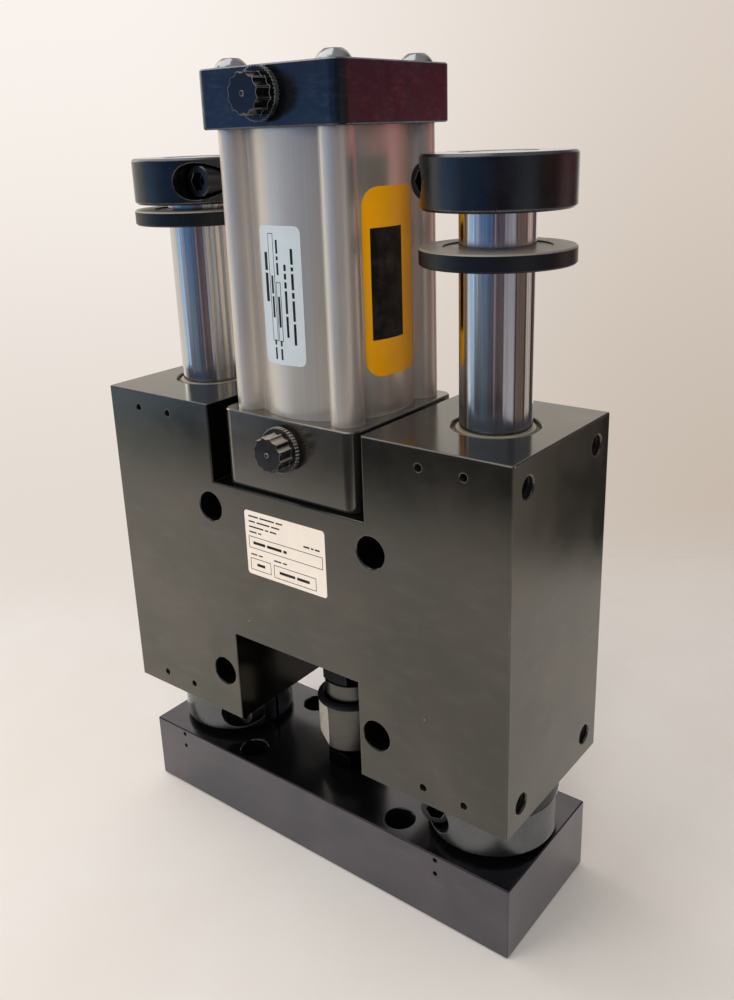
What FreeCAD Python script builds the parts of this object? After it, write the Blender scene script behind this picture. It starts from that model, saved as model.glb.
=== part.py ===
import FreeCAD, Part
import math
import os
import re

import Sketcher
from FreeCAD import Placement, Rotation, Vector

# Driving sizes in millimetres and degrees, each in its own cell of the sheet.
SIZES = {
    # Fits and edge breaks
    "running_clearance": 0.05,
    "seat_clearance": 0.02,
    "edge_break": 0.5,
    "hole_break": 0.5,
    "screw_head_gap": 0.6,
    # Tool plate
    "plate_length": 225.0,
    "plate_depth": 72.5,
    "plate_height": 36.5,
    "plate_hole_dia": 14.3,
    "plate_hole_span_x": 95.25,
    "plate_hole_span_y": 50.8,
    "pin_hole_dia": 2.4,
    "pin_hole_offset": 8.0,
    "pin_hole_drop": 2.7,
    "pin_hole_pitch": 7.3,
    "pin_hole_depth": 9.0,
    # Guide shafts and the screws that hold them
    "shaft_dia": 30.0,
    "shaft_span": 165.5,
    "shaft_seat_depth": 20.0,
    "shaft_end_break": 0.8,
    "shaft_end_sink": 0.2,
    "shaft_screw_dia": 9.5,
    "shaft_screw_head_dia": 14.3,
    "shaft_screw_head_height": 9.0,
    "shaft_screw_reach": 18.0,
    "shaft_screw_recess": 10.0,
    # Clamp collars and their screws
    "collar_dia": 60.0,
    "collar_height": 20.6,
    "collar_edge": 1.0,
    "collar_lift": 2.85,
    "collar_slit": 2.0,
    "clamp_screw_offset": 22.0,
    "clamp_screw_dia": 9.5,
    "clamp_head_dia": 14.3,
    "clamp_head_height": 9.5,
    "clamp_head_seat": 9.0,
    "clamp_recess_dia": 16.2,
    "clamp_screw_reach": 14.0,
    "clamp_socket": 7.9,
    "clamp_socket_depth": 5.0,
    "left_lower_clamp_turn": 358.0,
    "left_upper_clamp_turn": 358.0,
    "right_lower_clamp_turn": 198.0,
    "right_upper_clamp_turn": 167.0,
    # Bumper discs
    "bumper_dia": 61.0,
    "bumper_thickness": 6.8,
    "bumper_edge": 0.6,
    "bumper_recess_dia": 42.6,
    "bumper_recess_depth": 0.6,
    "left_bumper_drop": 2.8,
    "right_bumper_drop": 14.1,
    # Stroke and the room left beyond it
    "stroke": 76.2,
    "stop_spare": 3.55,
    # Housing
    "body_width": 228.0,
    "body_depth": 82.5,
    "body_height": 164.0,
    "slot_width": 89.0,
    "slot_depth": 37.5,
    "notch_width": 76.0,
    "notch_height": 48.25,
    "face_hole_dia": 14.3,
    "face_hole_span": 95.25,
    "face_hole_drop": 50.5,
    "face_hole_rise": 24.5,
    "tap_hole_dia": 3.6,
    "tap_hole_span": 20.7,
    "tap_hole_edge": 8.3,
    "tap_hole_depth": 12.0,
    "side_hole_dia": 9.0,
    "side_hole_span": 59.0,
    "side_hole_edge": 11.7,
    "side_hole_depth": 22.0,
    # Shaft bushings and wipers in the housing
    "bush_bore": 37.0,
    "bush_length": 50.0,
    "wiper_height": 5.0,
    "wiper_rim_height": 3.0,
    "wiper_lip_dia": 33.9,
    "wiper_sink": 0.6,
    # Cylinder ends and barrel
    "cap_square": 76.2,
    "cap_corner": 5.5,
    "cap_edge": 0.6,
    "cap_height": 23.5,
    "head_height": 36.3,
    "spigot_length": 4.0,
    "barrel_bore": 63.5,
    "barrel_dia": 69.0,
    "boss_dia": 14.8,
    "boss_blend": 1.2,
    "tie_span": 54.4,
    "tie_dia": 7.9,
    "tie_clearance": 0.25,
    "tie_reach": 20.0,
    "tie_head_dia": 14.4,
    "tie_head_height": 4.8,
    "tie_head_flat": 62.0,
    "tie_socket": 4.8,
    "tie_socket_depth": 2.6,
    "ring_section": 2.4,
    # Cylinder head fixing
    "head_screw_span": 40.0,
    "head_screw_dia": 7.9,
    "head_screw_reach": 14.0,
    "head_screw_head_dia": 12.0,
    "head_screw_head_height": 7.9,
    "head_screw_recess": 9.0,
    "head_screw_socket": 6.3,
    "head_screw_socket_depth": 4.0,
    # Rod, gland and piston
    "rod_dia": 15.9,
    "rod_stud_dia": 12.7,
    "rod_pass_gap": 2.0,
    "gland_dia": 22.2,
    "rod_wiper_height": 4.0,
    "rod_bush_length": 24.0,
    "rod_seal_height": 5.0,
    "piston_length": 31.0,
    "piston_end_gap": 2.2,
    "piston_clearance": 0.08,
    "seal_groove_width": 5.0,
    "seal_groove_depth": 5.0,
    "seal_groove_edge": 3.5,
    "band_width": 8.0,
    "band_depth": 2.5,
    "piston_recess_dia": 24.0,
    "piston_nut_flats": 19.0,
    "piston_nut_height": 8.0,
    # Rod coupler, stud and jam nuts
    "coupler_dia": 34.5,
    "coupler_height": 26.5,
    "coupler_lift": 13.5,
    "coupler_edge": 1.5,
    "coupler_flats": 30.6,
    "coupler_flat_turn": 58.0,
    "coupler_ring_dia": 26.5,
    "coupler_ring_height": 9.5,
    "rod_seat_depth": 12.0,
    "stud_dia": 15.9,
    "stud_seat_depth": 20.0,
    "stud_grip": 11.0,
    "coupler_jam_nut_flats": 23.8,
    "coupler_jam_nut_height": 9.0,
    "rod_jam_nut_flats": 25.4,
    "rod_jam_nut_height": 8.0,
    # Port plugs
    "plug_reach": 11.6,
    "plug_knob_dia": 16.2,
    "plug_knob_edge": 0.25,
    "plug_flutes": 12,
    "plug_flute_dia": 5.0,
    "plug_flute_depth": 0.9,
    "plug_flange_dia": 20.8,
    "plug_flange_rise": 2.0,
    "plug_flange_thickness": 2.2,
    "plug_teeth": 40,
    "plug_tooth_depth": 0.55,
    "plug_tooth_width": 0.9,
    "plug_nub_dia": 2.0,
    "plug_nub_height": 0.4,
    "plug_stem_dia": 16.0,
    "plug_stem_length": 9.0,
    "port_depth": 17.5,
    "port_way_dia": 6.0,
    "port_way_inset": 4.5,
    "head_port_drop": 12.8,
    "cap_port_rise": 12.6,
}

# Heights worked out from the driving sizes, as formulas
BODY_Z = "(plate_height + collar_lift + collar_height + bumper_thickness)"
BODY_TOP = f"({BODY_Z} + body_height)"
SLOT_Z = f"({BODY_TOP} - slot_depth)"
NOTCH_TOP = f"({BODY_Z} + notch_height)"
HEAD_TOP = f"({SLOT_Z} + head_height)"
BARREL_LENGTH = "(stroke + piston_length + 2 * spigot_length + 2 * piston_end_gap)"
CAP_Z = f"({HEAD_TOP} + {BARREL_LENGTH})"
CAP_TOP = f"({CAP_Z} + cap_height)"
LOWER_COLLAR_Z = "(plate_height + collar_lift)"
LOWER_BUMPER_Z = f"({LOWER_COLLAR_Z} + collar_height)"
UPPER_COLLAR_Z = f"({BODY_TOP} + stroke + bumper_thickness + stop_spare)"
SHAFT_Z = "(plate_height - shaft_seat_depth)"
SHAFT_LENGTH = f"({UPPER_COLLAR_Z} + collar_height - shaft_end_sink - {SHAFT_Z})"
PISTON_Z = f"({CAP_Z} - spigot_length - piston_end_gap - piston_length)"
COUPLER_Z = "(plate_height + coupler_lift)"
COUPLER_TOP = f"({COUPLER_Z} + coupler_height)"
ROD_Z = f"({COUPLER_TOP} - rod_seat_depth)"
SHAFT_X = "(shaft_span / 2)"

# How close two lengths count as equal when edges are picked
TINY = 0.001

# Directions for a cylinder that would otherwise stand upright
UP = Rotation()
DOWN = Rotation(Vector(1, 0, 0), 180)
FRONT = Rotation(Vector(1, 0, 0), 90)
BACK = Rotation(Vector(1, 0, 0), -90)
RIGHT = Rotation(Vector(0, 1, 0), 90)
LEFT = Rotation(Vector(0, 1, 0), -90)

doc = FreeCAD.newDocument("slide_table_cylinder")
sheet = doc.addObject("Spreadsheet::Sheet", "Sizes")
pieces = []


def fill_sheet():
    """Write every driving size into an aliased cell."""
    for row, (name, value) in enumerate(SIZES.items(), start=1):
        sheet.set(f"A{row}", name)
        sheet.set(f"B{row}", str(value))
        sheet.setAlias(f"B{row}", name)
    doc.recompute()


def formula(text):
    """Turn the size names in a formula into references to the sheet."""
    return re.sub(r"[a-z]\w*", lambda word: f"Sizes.{word[0]}" if word[0] in SIZES else word[0], text)


def bind(item, sizes):
    """Tie properties of an object to formulas."""
    for path, text in sizes.items():
        item.setExpression(path, formula(text))
    return item


def at(item, x="0", y="0", z="0"):
    """Tie the position of an object to formulas."""
    return bind(item, {"Placement.Base.x": x, "Placement.Base.y": y, "Placement.Base.z": z})


def turned(item, angle):
    """Tie the angle of an object about the upright axis to a formula."""
    return bind(item, {"Placement.Rotation.Angle": angle})


def round_bar(name, diameter, length, x="0", y="0", z="0", way=UP):
    """A cylinder that starts at a point and runs in one direction."""
    item = doc.addObject("Part::Cylinder", name)
    item.Placement = Placement(Vector(), way)
    bind(item, {"Radius": f"({diameter}) / 2", "Height": length})
    return at(item, x, y, z)


def taper(name, diameter, growth, x="0", y="0", z="0", way=UP):
    """A 45 degree cone that opens a hole mouth; it starts inside and widens along its direction."""
    item = doc.addObject("Part::Cone", name)
    item.Placement = Placement(Vector(), way)
    radii = {"Radius1": f"({diameter}) / 2", "Radius2": f"({diameter}) / 2 + {growth}", "Height": growth}
    return at(bind(item, radii), x, y, z)


def block(name, length, width, height, x="0", y="0", z="0"):
    """A box from its lowest corner."""
    item = doc.addObject("Part::Box", name)
    return at(bind(item, {"Length": length, "Width": width, "Height": height}), x, y, z)


def hexagon(name, flats, height, z="0"):
    """An upright hexagonal bar."""
    item = doc.addObject("Part::Prism", name)
    return at(bind(item, {"Circumradius": f"({flats}) / 2 / cos(30)", "Height": height}), z=z)


def joined(name, items):
    """One solid or tool from several."""
    item = doc.addObject("Part::MultiFuse", name)
    item.Shapes = items
    return item


def cut(name, base, tools):
    """A shape with others taken out of it."""
    item = doc.addObject("Part::Cut", name)
    item.Base = base
    item.Tool = tools[0] if len(tools) == 1 else joined(f"{name}_tools", tools)
    return item


def group(name, items):
    """Like solids kept apart under one name."""
    item = doc.addObject("Part::Compound", name)
    item.Links = items
    return item


def piece(item, label):
    """Give a finished sub-part its label and list it for export."""
    item.Label = label
    pieces.append(item)
    return item


def sketch_on(body, name, role):
    """A sketch on one of the body's own origin planes."""
    sketch = body.newObject("Sketcher::SketchObject", name)
    plane = next(item for item in body.Origin.OriginFeatures if item.Role == role)
    sketch.AttachmentSupport = [(plane, "")]
    sketch.MapMode = "FlatFace"
    return sketch


def hold(sketch, index, point, place):
    """Fix one point of a sketch at a pair of formulas."""
    for axis, kind, other, text in zip("xy", ("DistanceX", "DistanceY"), (-2, -1), place):
        if text == "0":
            sketch.addConstraint(Sketcher.Constraint("PointOnObject", index, point, other))
            continue
        number = sketch.addConstraint(Sketcher.Constraint(kind, -1, 1, index, point, 1.0))
        sketch.renameConstraint(number, f"{axis}{index}")
        sketch.setExpression(f"Constraints.{axis}{index}", formula(text))


def outline(sketch, corners):
    """A closed outline whose corners sit at formulas."""
    count = len(corners)
    angles = [2 * math.pi * index / count for index in range(count)]
    ring = [Vector(math.cos(angle), math.sin(angle), 0) for angle in angles]
    for index in range(count):
        sketch.addGeometry(Part.LineSegment(ring[index], ring[(index + 1) % count]))
    for index in range(count):
        sketch.addConstraint(Sketcher.Constraint("Coincident", index, 2, (index + 1) % count, 1))
    for index, corner in enumerate(corners):
        hold(sketch, index, 1, corner)


def circles(sketch, diameter, centres):
    """Equal circles centred at pairs of formulas."""
    for index, centre in enumerate(centres):
        sketch.addGeometry(Part.Circle(Vector(index + 1, 1, 0), Vector(0, 0, 1), 0.5))
        hold(sketch, index, 3, centre)
        number = sketch.addConstraint(Sketcher.Constraint("Radius", index, 0.5))
        sketch.renameConstraint(number, f"r{index}")
        sketch.setExpression(f"Constraints.r{index}", formula(f"({diameter}) / 2"))


def pad(body, name, sketch, length, symmetric=False):
    """Raise a sketch into a solid."""
    item = body.newObject("PartDesign::Pad", name)
    item.Profile = sketch
    if symmetric:
        item.SideType = "Symmetric"
    return bind(item, {"Length": length})


def turning(name, corners):
    """A body turned about the upright axis from radius and height corners."""
    body = doc.addObject("PartDesign::Body", name)
    sketch = sketch_on(body, f"{name}_profile", "XZ_Plane")
    outline(sketch, corners)
    item = body.newObject("PartDesign::Revolution", f"{name}_turning")
    item.Profile = sketch
    item.ReferenceAxis = (sketch, ["V_Axis"])
    item.Angle = 360
    return body


def sleeve(name, inner, outer, height, edge="0", bore_edge="0"):
    """A turned ring with broken edges, standing on height zero."""
    low = [(f"({inner}) / 2", bore_edge), (f"({inner}) / 2 + {bore_edge}", "0")]
    rim = [(f"({outer}) / 2 - {edge}", "0"), (f"({outer}) / 2", edge)]
    corners = low if bore_edge != "0" else low[:1]
    corners = corners + (rim if edge != "0" else rim[:1])
    top = [(x, height if z == "0" else f"{height} - {z}") for x, z in reversed(corners)]
    return turning(name, corners + top)


def chosen(shape, test):
    """Names of the edges of a shape that pass a test."""
    return [f"Edge{number}" for number, edge in enumerate(shape.Edges, start=1) if test(edge)]


def along(edge, axis):
    """Whether an edge is straight and runs along an axis."""
    if not isinstance(edge.Curve, Part.Line):
        return False
    return abs(edge.Curve.Direction.dot(axis)) > 1 - TINY


def dress(body, kind, name, test, prop, size):
    """Fillet or chamfer the edges of the body's last feature that pass a test."""
    doc.recompute()
    last = body.Tip
    item = body.newObject(kind, name)
    item.Base = (last, chosen(last.Shape, test))
    return bind(item, {prop: size})


def chamfer(body, name, test, size):
    """Chamfer chosen edges of a body."""
    return dress(body, "PartDesign::Chamfer", name, test, "Size", size)


def fillet(body, name, test, size):
    """Round chosen edges of a body."""
    return dress(body, "PartDesign::Fillet", name, test, "Radius", size)


def four(span_x, span_y):
    """Corner positions of a rectangle as pairs of formulas."""
    return [(f"{a}({span_x}) / 2", f"{b}({span_y}) / 2") for a in ("", "-") for b in ("", "-")]


def sized(name):
    """A driving size as a number, for picking edges."""
    return float(sheet.get(name))


def rectangle(width, height):
    """Corners of a centred rectangle as formulas."""
    right, top = f"({width}) / 2", f"({height}) / 2"
    return [(f"-{right}", f"-{top}"), (right, f"-{top}"), (right, top), (f"-{right}", top)]


def make_tool_plate():
    """The plate that carries the shafts and the coupler stud."""
    body = doc.addObject("PartDesign::Body", "plate_blank")
    sketch = sketch_on(body, "plate_outline", "XY_Plane")
    outline(sketch, rectangle("plate_length", "plate_depth"))
    pad(body, "plate_pad", sketch, "plate_height")
    chamfer(body, "plate_edges", lambda edge: True, "edge_break")
    tools = []
    for index, (x, y) in enumerate(four("plate_hole_span_x", "plate_hole_span_y")):
        tools.append(round_bar(f"plate_hole_{index}", "plate_hole_dia", "plate_height", x, y))
        top = "plate_height - hole_break"
        tools.append(taper(f"plate_mouth_{index}", "plate_hole_dia", "hole_break", x, y, top))
        tools.append(taper(f"plate_foot_{index}", "plate_hole_dia", "hole_break", x, y, "hole_break", DOWN))
    for side, sign in (("left", "-"), ("right", "")):
        x = f"{sign}{SHAFT_X}"
        seat = "shaft_dia + 2 * seat_clearance"
        screw = "shaft_screw_dia + 2 * seat_clearance"
        recess = "shaft_screw_head_dia + 2 * screw_head_gap"
        tools.append(round_bar(f"{side}_shaft_seat", seat, "shaft_seat_depth", x, "0", SHAFT_Z))
        tools.append(round_bar(f"{side}_shaft_screw_way", screw, "plate_height", x))
        tools.append(round_bar(f"{side}_shaft_screw_recess", recess, "shaft_screw_recess", x))
        for row in range(2):
            z = f"plate_height - pin_hole_drop - {row} * pin_hole_pitch"
            name, spot = f"{side}_pin_hole_{row}", (f"{x} - pin_hole_offset", "-plate_depth / 2", z)
            tools.append(round_bar(name, "pin_hole_dia", "pin_hole_depth", *spot, BACK))
    stud = "stud_dia + 2 * seat_clearance"
    depth = "stud_seat_depth + edge_break"
    tools.append(round_bar("stud_seat", stud, depth, z="plate_height - stud_seat_depth - edge_break"))
    piece(cut("plate_cut", body, tools), "tool_plate")


def make_shafts():
    """Two guide shafts, each held by a screw from below."""
    screws = []
    for side, sign in (("left", "-"), ("right", "")):
        x = f"{sign}{SHAFT_X}"
        bar = turning(f"{side}_shaft_bar", [
            ("0", "0"),
            ("shaft_dia / 2 - shaft_end_break", "0"),
            ("shaft_dia / 2", "shaft_end_break"),
            ("shaft_dia / 2", f"{SHAFT_LENGTH} - shaft_end_break"),
            ("shaft_dia / 2 - shaft_end_break", SHAFT_LENGTH),
            ("0", SHAFT_LENGTH),
        ])
        thread = "shaft_screw_dia + 2 * seat_clearance"
        tapped = round_bar(f"{side}_shaft_tapping", thread, "shaft_screw_reach + 2 * hole_break")
        shaft = cut(f"{side}_shaft_cut", bar, [tapped])
        piece(at(shaft, x, "0", SHAFT_Z), f"{side}_guide_shaft")
        length = f"{SHAFT_Z} + shaft_screw_reach - shaft_screw_recess"
        shank = round_bar(f"{side}_shaft_shank", "shaft_screw_dia", length)
        head_z = "-shaft_screw_head_height"
        head = round_bar(f"{side}_shaft_head", "shaft_screw_head_dia", "shaft_screw_head_height", z=head_z)
        socket = hexagon(f"{side}_shaft_socket", "clamp_socket", "clamp_socket_depth", head_z)
        screw = cut(f"{side}_shaft_screw", joined(f"{side}_shaft_screw_blank", [shank, head]), [socket])
        screws.append(at(screw, x, "0", "shaft_screw_recess"))
    piece(group("shaft_screw_group", screws), "shaft_screws")


def make_collar(side, level, z):
    """A one-piece split collar with a counterbored screw lying across the split.

    The screw sits on the collar's inner side with its head to the front, so the right-hand collars are the
    left-hand ones turned over. Returns the screw.
    """
    name = f"{side}_{level}_collar"
    sign, head_sign, out, into = ("-", "-", FRONT, BACK) if side == "left" else ("", "", BACK, FRONT)
    middle, offset, seat_y = "collar_height / 2", "clamp_screw_offset", f"{head_sign}clamp_head_seat"
    length = "clamp_head_seat + clamp_screw_reach"
    bore = "shaft_dia + 2 * seat_clearance"
    ring = sleeve(f"{name}_ring", bore, "collar_dia", "collar_height", "collar_edge", "collar_edge / 2")
    slit = block(f"{name}_slit", "collar_dia", "collar_slit", "collar_height", "0", "-collar_slit / 2")
    recess = round_bar(f"{name}_recess", "clamp_recess_dia", "collar_dia", offset, seat_y, middle, out)
    thread = "clamp_screw_dia + 2 * seat_clearance"
    way = round_bar(f"{name}_way", thread, length, offset, seat_y, middle, into)
    collar = cut(f"{name}_cut", ring, [slit, recess, way])
    piece(at(turned(collar, f"{side}_{level}_clamp_turn"), f"{sign}{SHAFT_X}", "0", z), name)

    reach = f"({length} - edge_break)"
    shank = round_bar(f"{name}_shank", "clamp_screw_dia", reach, z=f"-{reach}")
    head = turning(f"{name}_head", [
        ("0", "0"),
        ("clamp_head_dia / 2", "0"),
        ("clamp_head_dia / 2", "clamp_head_height - edge_break"),
        ("clamp_head_dia / 2 - edge_break", "clamp_head_height"),
        ("0", "clamp_head_height"),
    ])
    floor = "clamp_head_height - clamp_socket_depth"
    socket = hexagon(f"{name}_socket", "clamp_socket", "clamp_socket_depth", floor)
    screw = cut(f"{name}_screw", joined(f"{name}_screw_blank", [shank, head]), [socket])
    screw.Placement = Placement(Vector(), out)
    at(screw, offset, seat_y, middle)
    seated = group(f"{name}_seated_screw", [screw])
    return at(turned(seated, f"{side}_{level}_clamp_turn"), f"{sign}{SHAFT_X}", "0", z)


def make_collars():
    """Four collars and the group of their screws."""
    screws = []
    for side in ("left", "right"):
        for level, z in (("lower", LOWER_COLLAR_Z), ("upper", UPPER_COLLAR_Z)):
            screws.append(make_collar(side, level, z))
    piece(group("clamp_screw_group", screws), "collar_screws")


def make_bumper(name, sign, z):
    """A soft stop disc with a shallow recess round the shaft."""
    hole = "shaft_dia / 2 + running_clearance"
    floor = "bumper_thickness - bumper_recess_depth"
    disc = turning(f"{name}_disc", [
        (hole, "0"),
        ("bumper_dia / 2 - bumper_edge", "0"),
        ("bumper_dia / 2", "bumper_edge"),
        ("bumper_dia / 2", "bumper_thickness - bumper_edge"),
        ("bumper_dia / 2 - bumper_edge", "bumper_thickness"),
        ("bumper_recess_dia / 2", "bumper_thickness"),
        ("bumper_recess_dia / 2", floor),
        (hole, floor),
    ])
    piece(at(disc, f"{sign}{SHAFT_X}", "0", z), name)


def make_bumpers():
    """Four bumper discs: two resting on the lower collars, two hanging on the shafts."""
    for side, sign in (("left", "-"), ("right", "")):
        make_bumper(f"{side}_lower_bumper", sign, LOWER_BUMPER_Z)
        make_bumper(f"{side}_upper_bumper", sign, f"{UPPER_COLLAR_Z} - {side}_bumper_drop - bumper_thickness")


def face_holes():
    """Four large holes from front to back, with broken mouths."""
    tools = []
    heights = (f"{BODY_Z} + face_hole_rise", f"{BODY_TOP} - face_hole_drop")
    spots = [(f"{sign}face_hole_span / 2", z) for sign in ("", "-") for z in heights]
    for index, (x, z) in enumerate(spots):
        name = f"face_hole_{index}"
        tools.append(round_bar(name, "face_hole_dia", "body_depth", x, "body_depth / 2", z, FRONT))
        for face, sign, way in (("front", "-", FRONT), ("back", "", BACK)):
            y = f"{sign}(body_depth / 2 - hole_break)"
            tools.append(taper(f"{name}_{face}_mouth", "face_hole_dia", "hole_break", x, y, z, way))
    return tools


def tapped_holes():
    """Two small blind holes at each end of each shaft bore, in the front face."""
    tools = []
    for side in ("", "-"):
        for step in ("", "-"):
            x = f"{side}{SHAFT_X} + {step}tap_hole_span / 2"
            for z in (f"{BODY_Z} + tap_hole_edge", f"{BODY_TOP} - tap_hole_edge"):
                name = f"tap_hole_{len(tools)}"
                tools.append(round_bar(name, "tap_hole_dia", "tap_hole_depth", x, "-body_depth / 2", z, BACK))
    return tools


def side_holes():
    """Four blind holes in each end of the housing, with broken mouths."""
    tools = []
    for sign, way, out in (("", LEFT, RIGHT), ("-", RIGHT, LEFT)):
        for row in ("", "-"):
            y = f"{row}side_hole_span / 2"
            for z in (f"{BODY_Z} + side_hole_edge", f"{BODY_TOP} - side_hole_edge"):
                x = f"{sign}body_width / 2"
                inside = f"{sign}(body_width / 2 - hole_break)"
                name = f"side_hole_{len(tools)}"
                tools.append(round_bar(name, "side_hole_dia", "side_hole_depth", x, y, z, way))
                tools.append(taper(f"{name}_mouth", "side_hole_dia", "hole_break", inside, y, z, out))
    return tools


def make_housing():
    """The block with the slot for the cylinder head and the notch for the coupler."""
    half, slot, notch = "body_width / 2", "slot_width / 2", "notch_width / 2"
    right = [(notch, BODY_Z), (half, BODY_Z), (half, BODY_TOP), (slot, BODY_TOP), (slot, SLOT_Z)]
    left = [(f"-{x}", z) for x, z in reversed(right)]
    body = doc.addObject("PartDesign::Body", "housing_blank")
    sketch = sketch_on(body, "housing_outline", "XZ_Plane")
    outline(sketch, [(notch, NOTCH_TOP)] + right + left + [(f"-{notch}", NOTCH_TOP)])
    pad(body, "housing_pad", sketch, "body_depth", symmetric=True)
    depth, width = sized("body_depth"), sized("body_width")

    def outer(edge):
        """Edges of the front and back faces, and the four long outer corners."""
        middle = edge.CenterOfMass
        return abs(abs(middle.y) - depth / 2) < TINY or abs(abs(middle.x) - width / 2) < TINY

    chamfer(body, "housing_edges", outer, "edge_break")
    tools = face_holes() + tapped_holes() + side_holes()
    for side, sign in (("left", "-"), ("right", "")):
        x = f"{sign}{SHAFT_X}"
        tools.append(round_bar(f"{side}_bush_bore", "bush_bore", "body_height", x, "0", BODY_Z))
        mouth = f"{BODY_TOP} - hole_break"
        tools.append(taper(f"{side}_bore_mouth", "bush_bore", "hole_break", x, "0", mouth))
        foot = f"{BODY_Z} + hole_break"
        tools.append(taper(f"{side}_bore_foot", "bush_bore", "hole_break", x, "0", foot, DOWN))
    tools.append(round_bar("rod_pass", "rod_dia + 2 * rod_pass_gap", "body_height", z=NOTCH_TOP))
    for index, (x, y) in enumerate(four("head_screw_span", "head_screw_span")):
        way = "head_screw_dia + 2 * tie_clearance"
        tools.append(round_bar(f"head_screw_way_{index}", way, "body_height", x, y, NOTCH_TOP))
        recess = "head_screw_head_dia + 2 * screw_head_gap"
        tools.append(round_bar(f"head_screw_recess_{index}", recess, "head_screw_recess", x, y, NOTCH_TOP))
    piece(cut("housing_cut", body, tools), "housing")


def make_bushings():
    """Plain bushings and lip wipers at both ends of each shaft bore."""
    inner = "shaft_dia / 2 + running_clearance"
    outer = "bush_bore / 2 - seat_clearance"
    lip = [
        (inner, "0"), (outer, "0"), (outer, "wiper_rim_height"), ("wiper_lip_dia / 2", "wiper_rim_height"),
        ("wiper_lip_dia / 2", "wiper_height"), (inner, "wiper_height"),
    ]
    for side, sign in (("left", "-"), ("right", "")):
        x = f"{sign}{SHAFT_X}"
        sunk = "(wiper_sink + wiper_height)"
        for level, z, way in (
            ("upper", f"{BODY_TOP} - {sunk} - bush_length", UP), ("lower", f"{BODY_Z} + {sunk}", DOWN),
        ):
            name = f"{side}_{level}"
            bush = sleeve(f"{name}_bush", f"2 * ({inner})", f"2 * ({outer})", "bush_length", "edge_break")
            piece(at(bush, x, "0", z), f"{name}_bushing")
            wiper = turning(f"{name}_lip", lip)
            wiper.Placement = Placement(Vector(), way)
            seat = f"{BODY_TOP} - {sunk}" if way is UP else z
            piece(at(wiper, x, "0", seat), f"{name}_wiper")


def square_end(name, height):
    """A square cylinder end with round corners and broken edges, standing on height zero."""
    body = doc.addObject("PartDesign::Body", name)
    sketch = sketch_on(body, f"{name}_outline", "XY_Plane")
    outline(sketch, rectangle("cap_square", "cap_square"))
    pad(body, f"{name}_pad", sketch, height)
    fillet(body, f"{name}_corners", lambda edge: along(edge, Vector(0, 0, 1)), "cap_corner")
    chamfer(body, f"{name}_edges", lambda edge: not along(edge, Vector(0, 0, 1)), "cap_edge")
    return body


def port(name, z, way):
    """A plug seat in the front face and an air way from it to the barrel."""
    face = "-cap_square / 2"
    seat = round_bar(f"{name}_seat", "plug_stem_dia + 2 * seat_clearance", "port_depth", "0", face, z, BACK)
    inside = f"{face} + port_depth - port_way_inset"
    return [seat, round_bar(f"{name}_air", "port_way_dia", "cap_square", "0", inside, z, way)]


def spigot(name, z):
    """A short pilot that enters the barrel, grooved for its O-ring."""
    outer = "barrel_bore / 2 - running_clearance"
    floor = "barrel_bore / 2 - ring_section - seat_clearance"
    low, high = "(spigot_length - ring_section) / 2", "(spigot_length + ring_section) / 2"
    ring = turning(name, [
        ("0", "0"), (outer, "0"), (outer, low), (floor, low), (floor, high), (outer, high),
        (outer, "spigot_length"), ("0", "spigot_length"),
    ])
    return at(ring, z=z)


def make_cylinder_ends():
    """Head and cap with ports, pilots, tie bolt holes and the gland bore."""
    corners = four("tie_span", "tie_span")
    tools = port("head_port", "head_height - head_port_drop", UP)
    tools.append(round_bar("gland_bore", "gland_dia", "rod_wiper_height + rod_bush_length + rod_seal_height"))
    tools.append(round_bar("head_rod_way", "rod_dia + rod_pass_gap", "2 * head_height"))
    for index, (x, y) in enumerate(corners):
        depth = "tie_reach + edge_break"
        tools.append(round_bar(f"tie_tapping_{index}", "tie_dia + 2 * seat_clearance", depth, x, y,
                               f"head_height - ({depth})"))
    for index, (x, y) in enumerate(four("head_screw_span", "head_screw_span")):
        tools.append(round_bar(f"head_tapping_{index}", "head_screw_dia + 2 * seat_clearance",
                               "head_screw_reach + edge_break", x, y))
    solids = [square_end("head_block", "head_height"), spigot("head_spigot", "head_height")]
    piece(at(cut("head_cut", joined("head_blank", solids), tools), z=SLOT_Z), "cylinder_head")

    tools = port("cap_port", "cap_port_rise", DOWN)
    for index, (x, y) in enumerate(corners):
        tools.append(round_bar(f"tie_way_{index}", "tie_dia + 2 * tie_clearance", "cap_height", x, y))
    solids = [square_end("cap_block", "cap_height"), spigot("cap_spigot", "-spigot_length")]
    piece(at(cut("cap_cut", joined("cap_blank", solids), tools), z=CAP_Z), "cylinder_cap")

    rings = []
    middle = "spigot_length / 2"
    for name, z in (("head_ring", f"{HEAD_TOP} + {middle}"), ("cap_ring", f"{CAP_Z} - {middle}")):
        ring = doc.addObject("Part::Torus", name)
        section = "(ring_section / 2 - seat_clearance)"
        bind(ring, {"Radius2": section, "Radius1": "barrel_bore / 2 - ring_section / 2 - seat_clearance / 2"})
        rings.append(at(ring, z=z))
    piece(group("barrel_ring_group", rings), "barrel_o_rings")


def boss_corner(edge):
    """Whether an edge is an upright one where a boss meets the tube."""
    middle = edge.CenterOfMass
    on_tube = abs(math.hypot(middle.x, middle.y) - sized("barrel_dia") / 2) < TINY
    seam = abs(middle.y) < TINY
    return along(edge, Vector(0, 0, 1)) and on_tube and not seam


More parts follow.
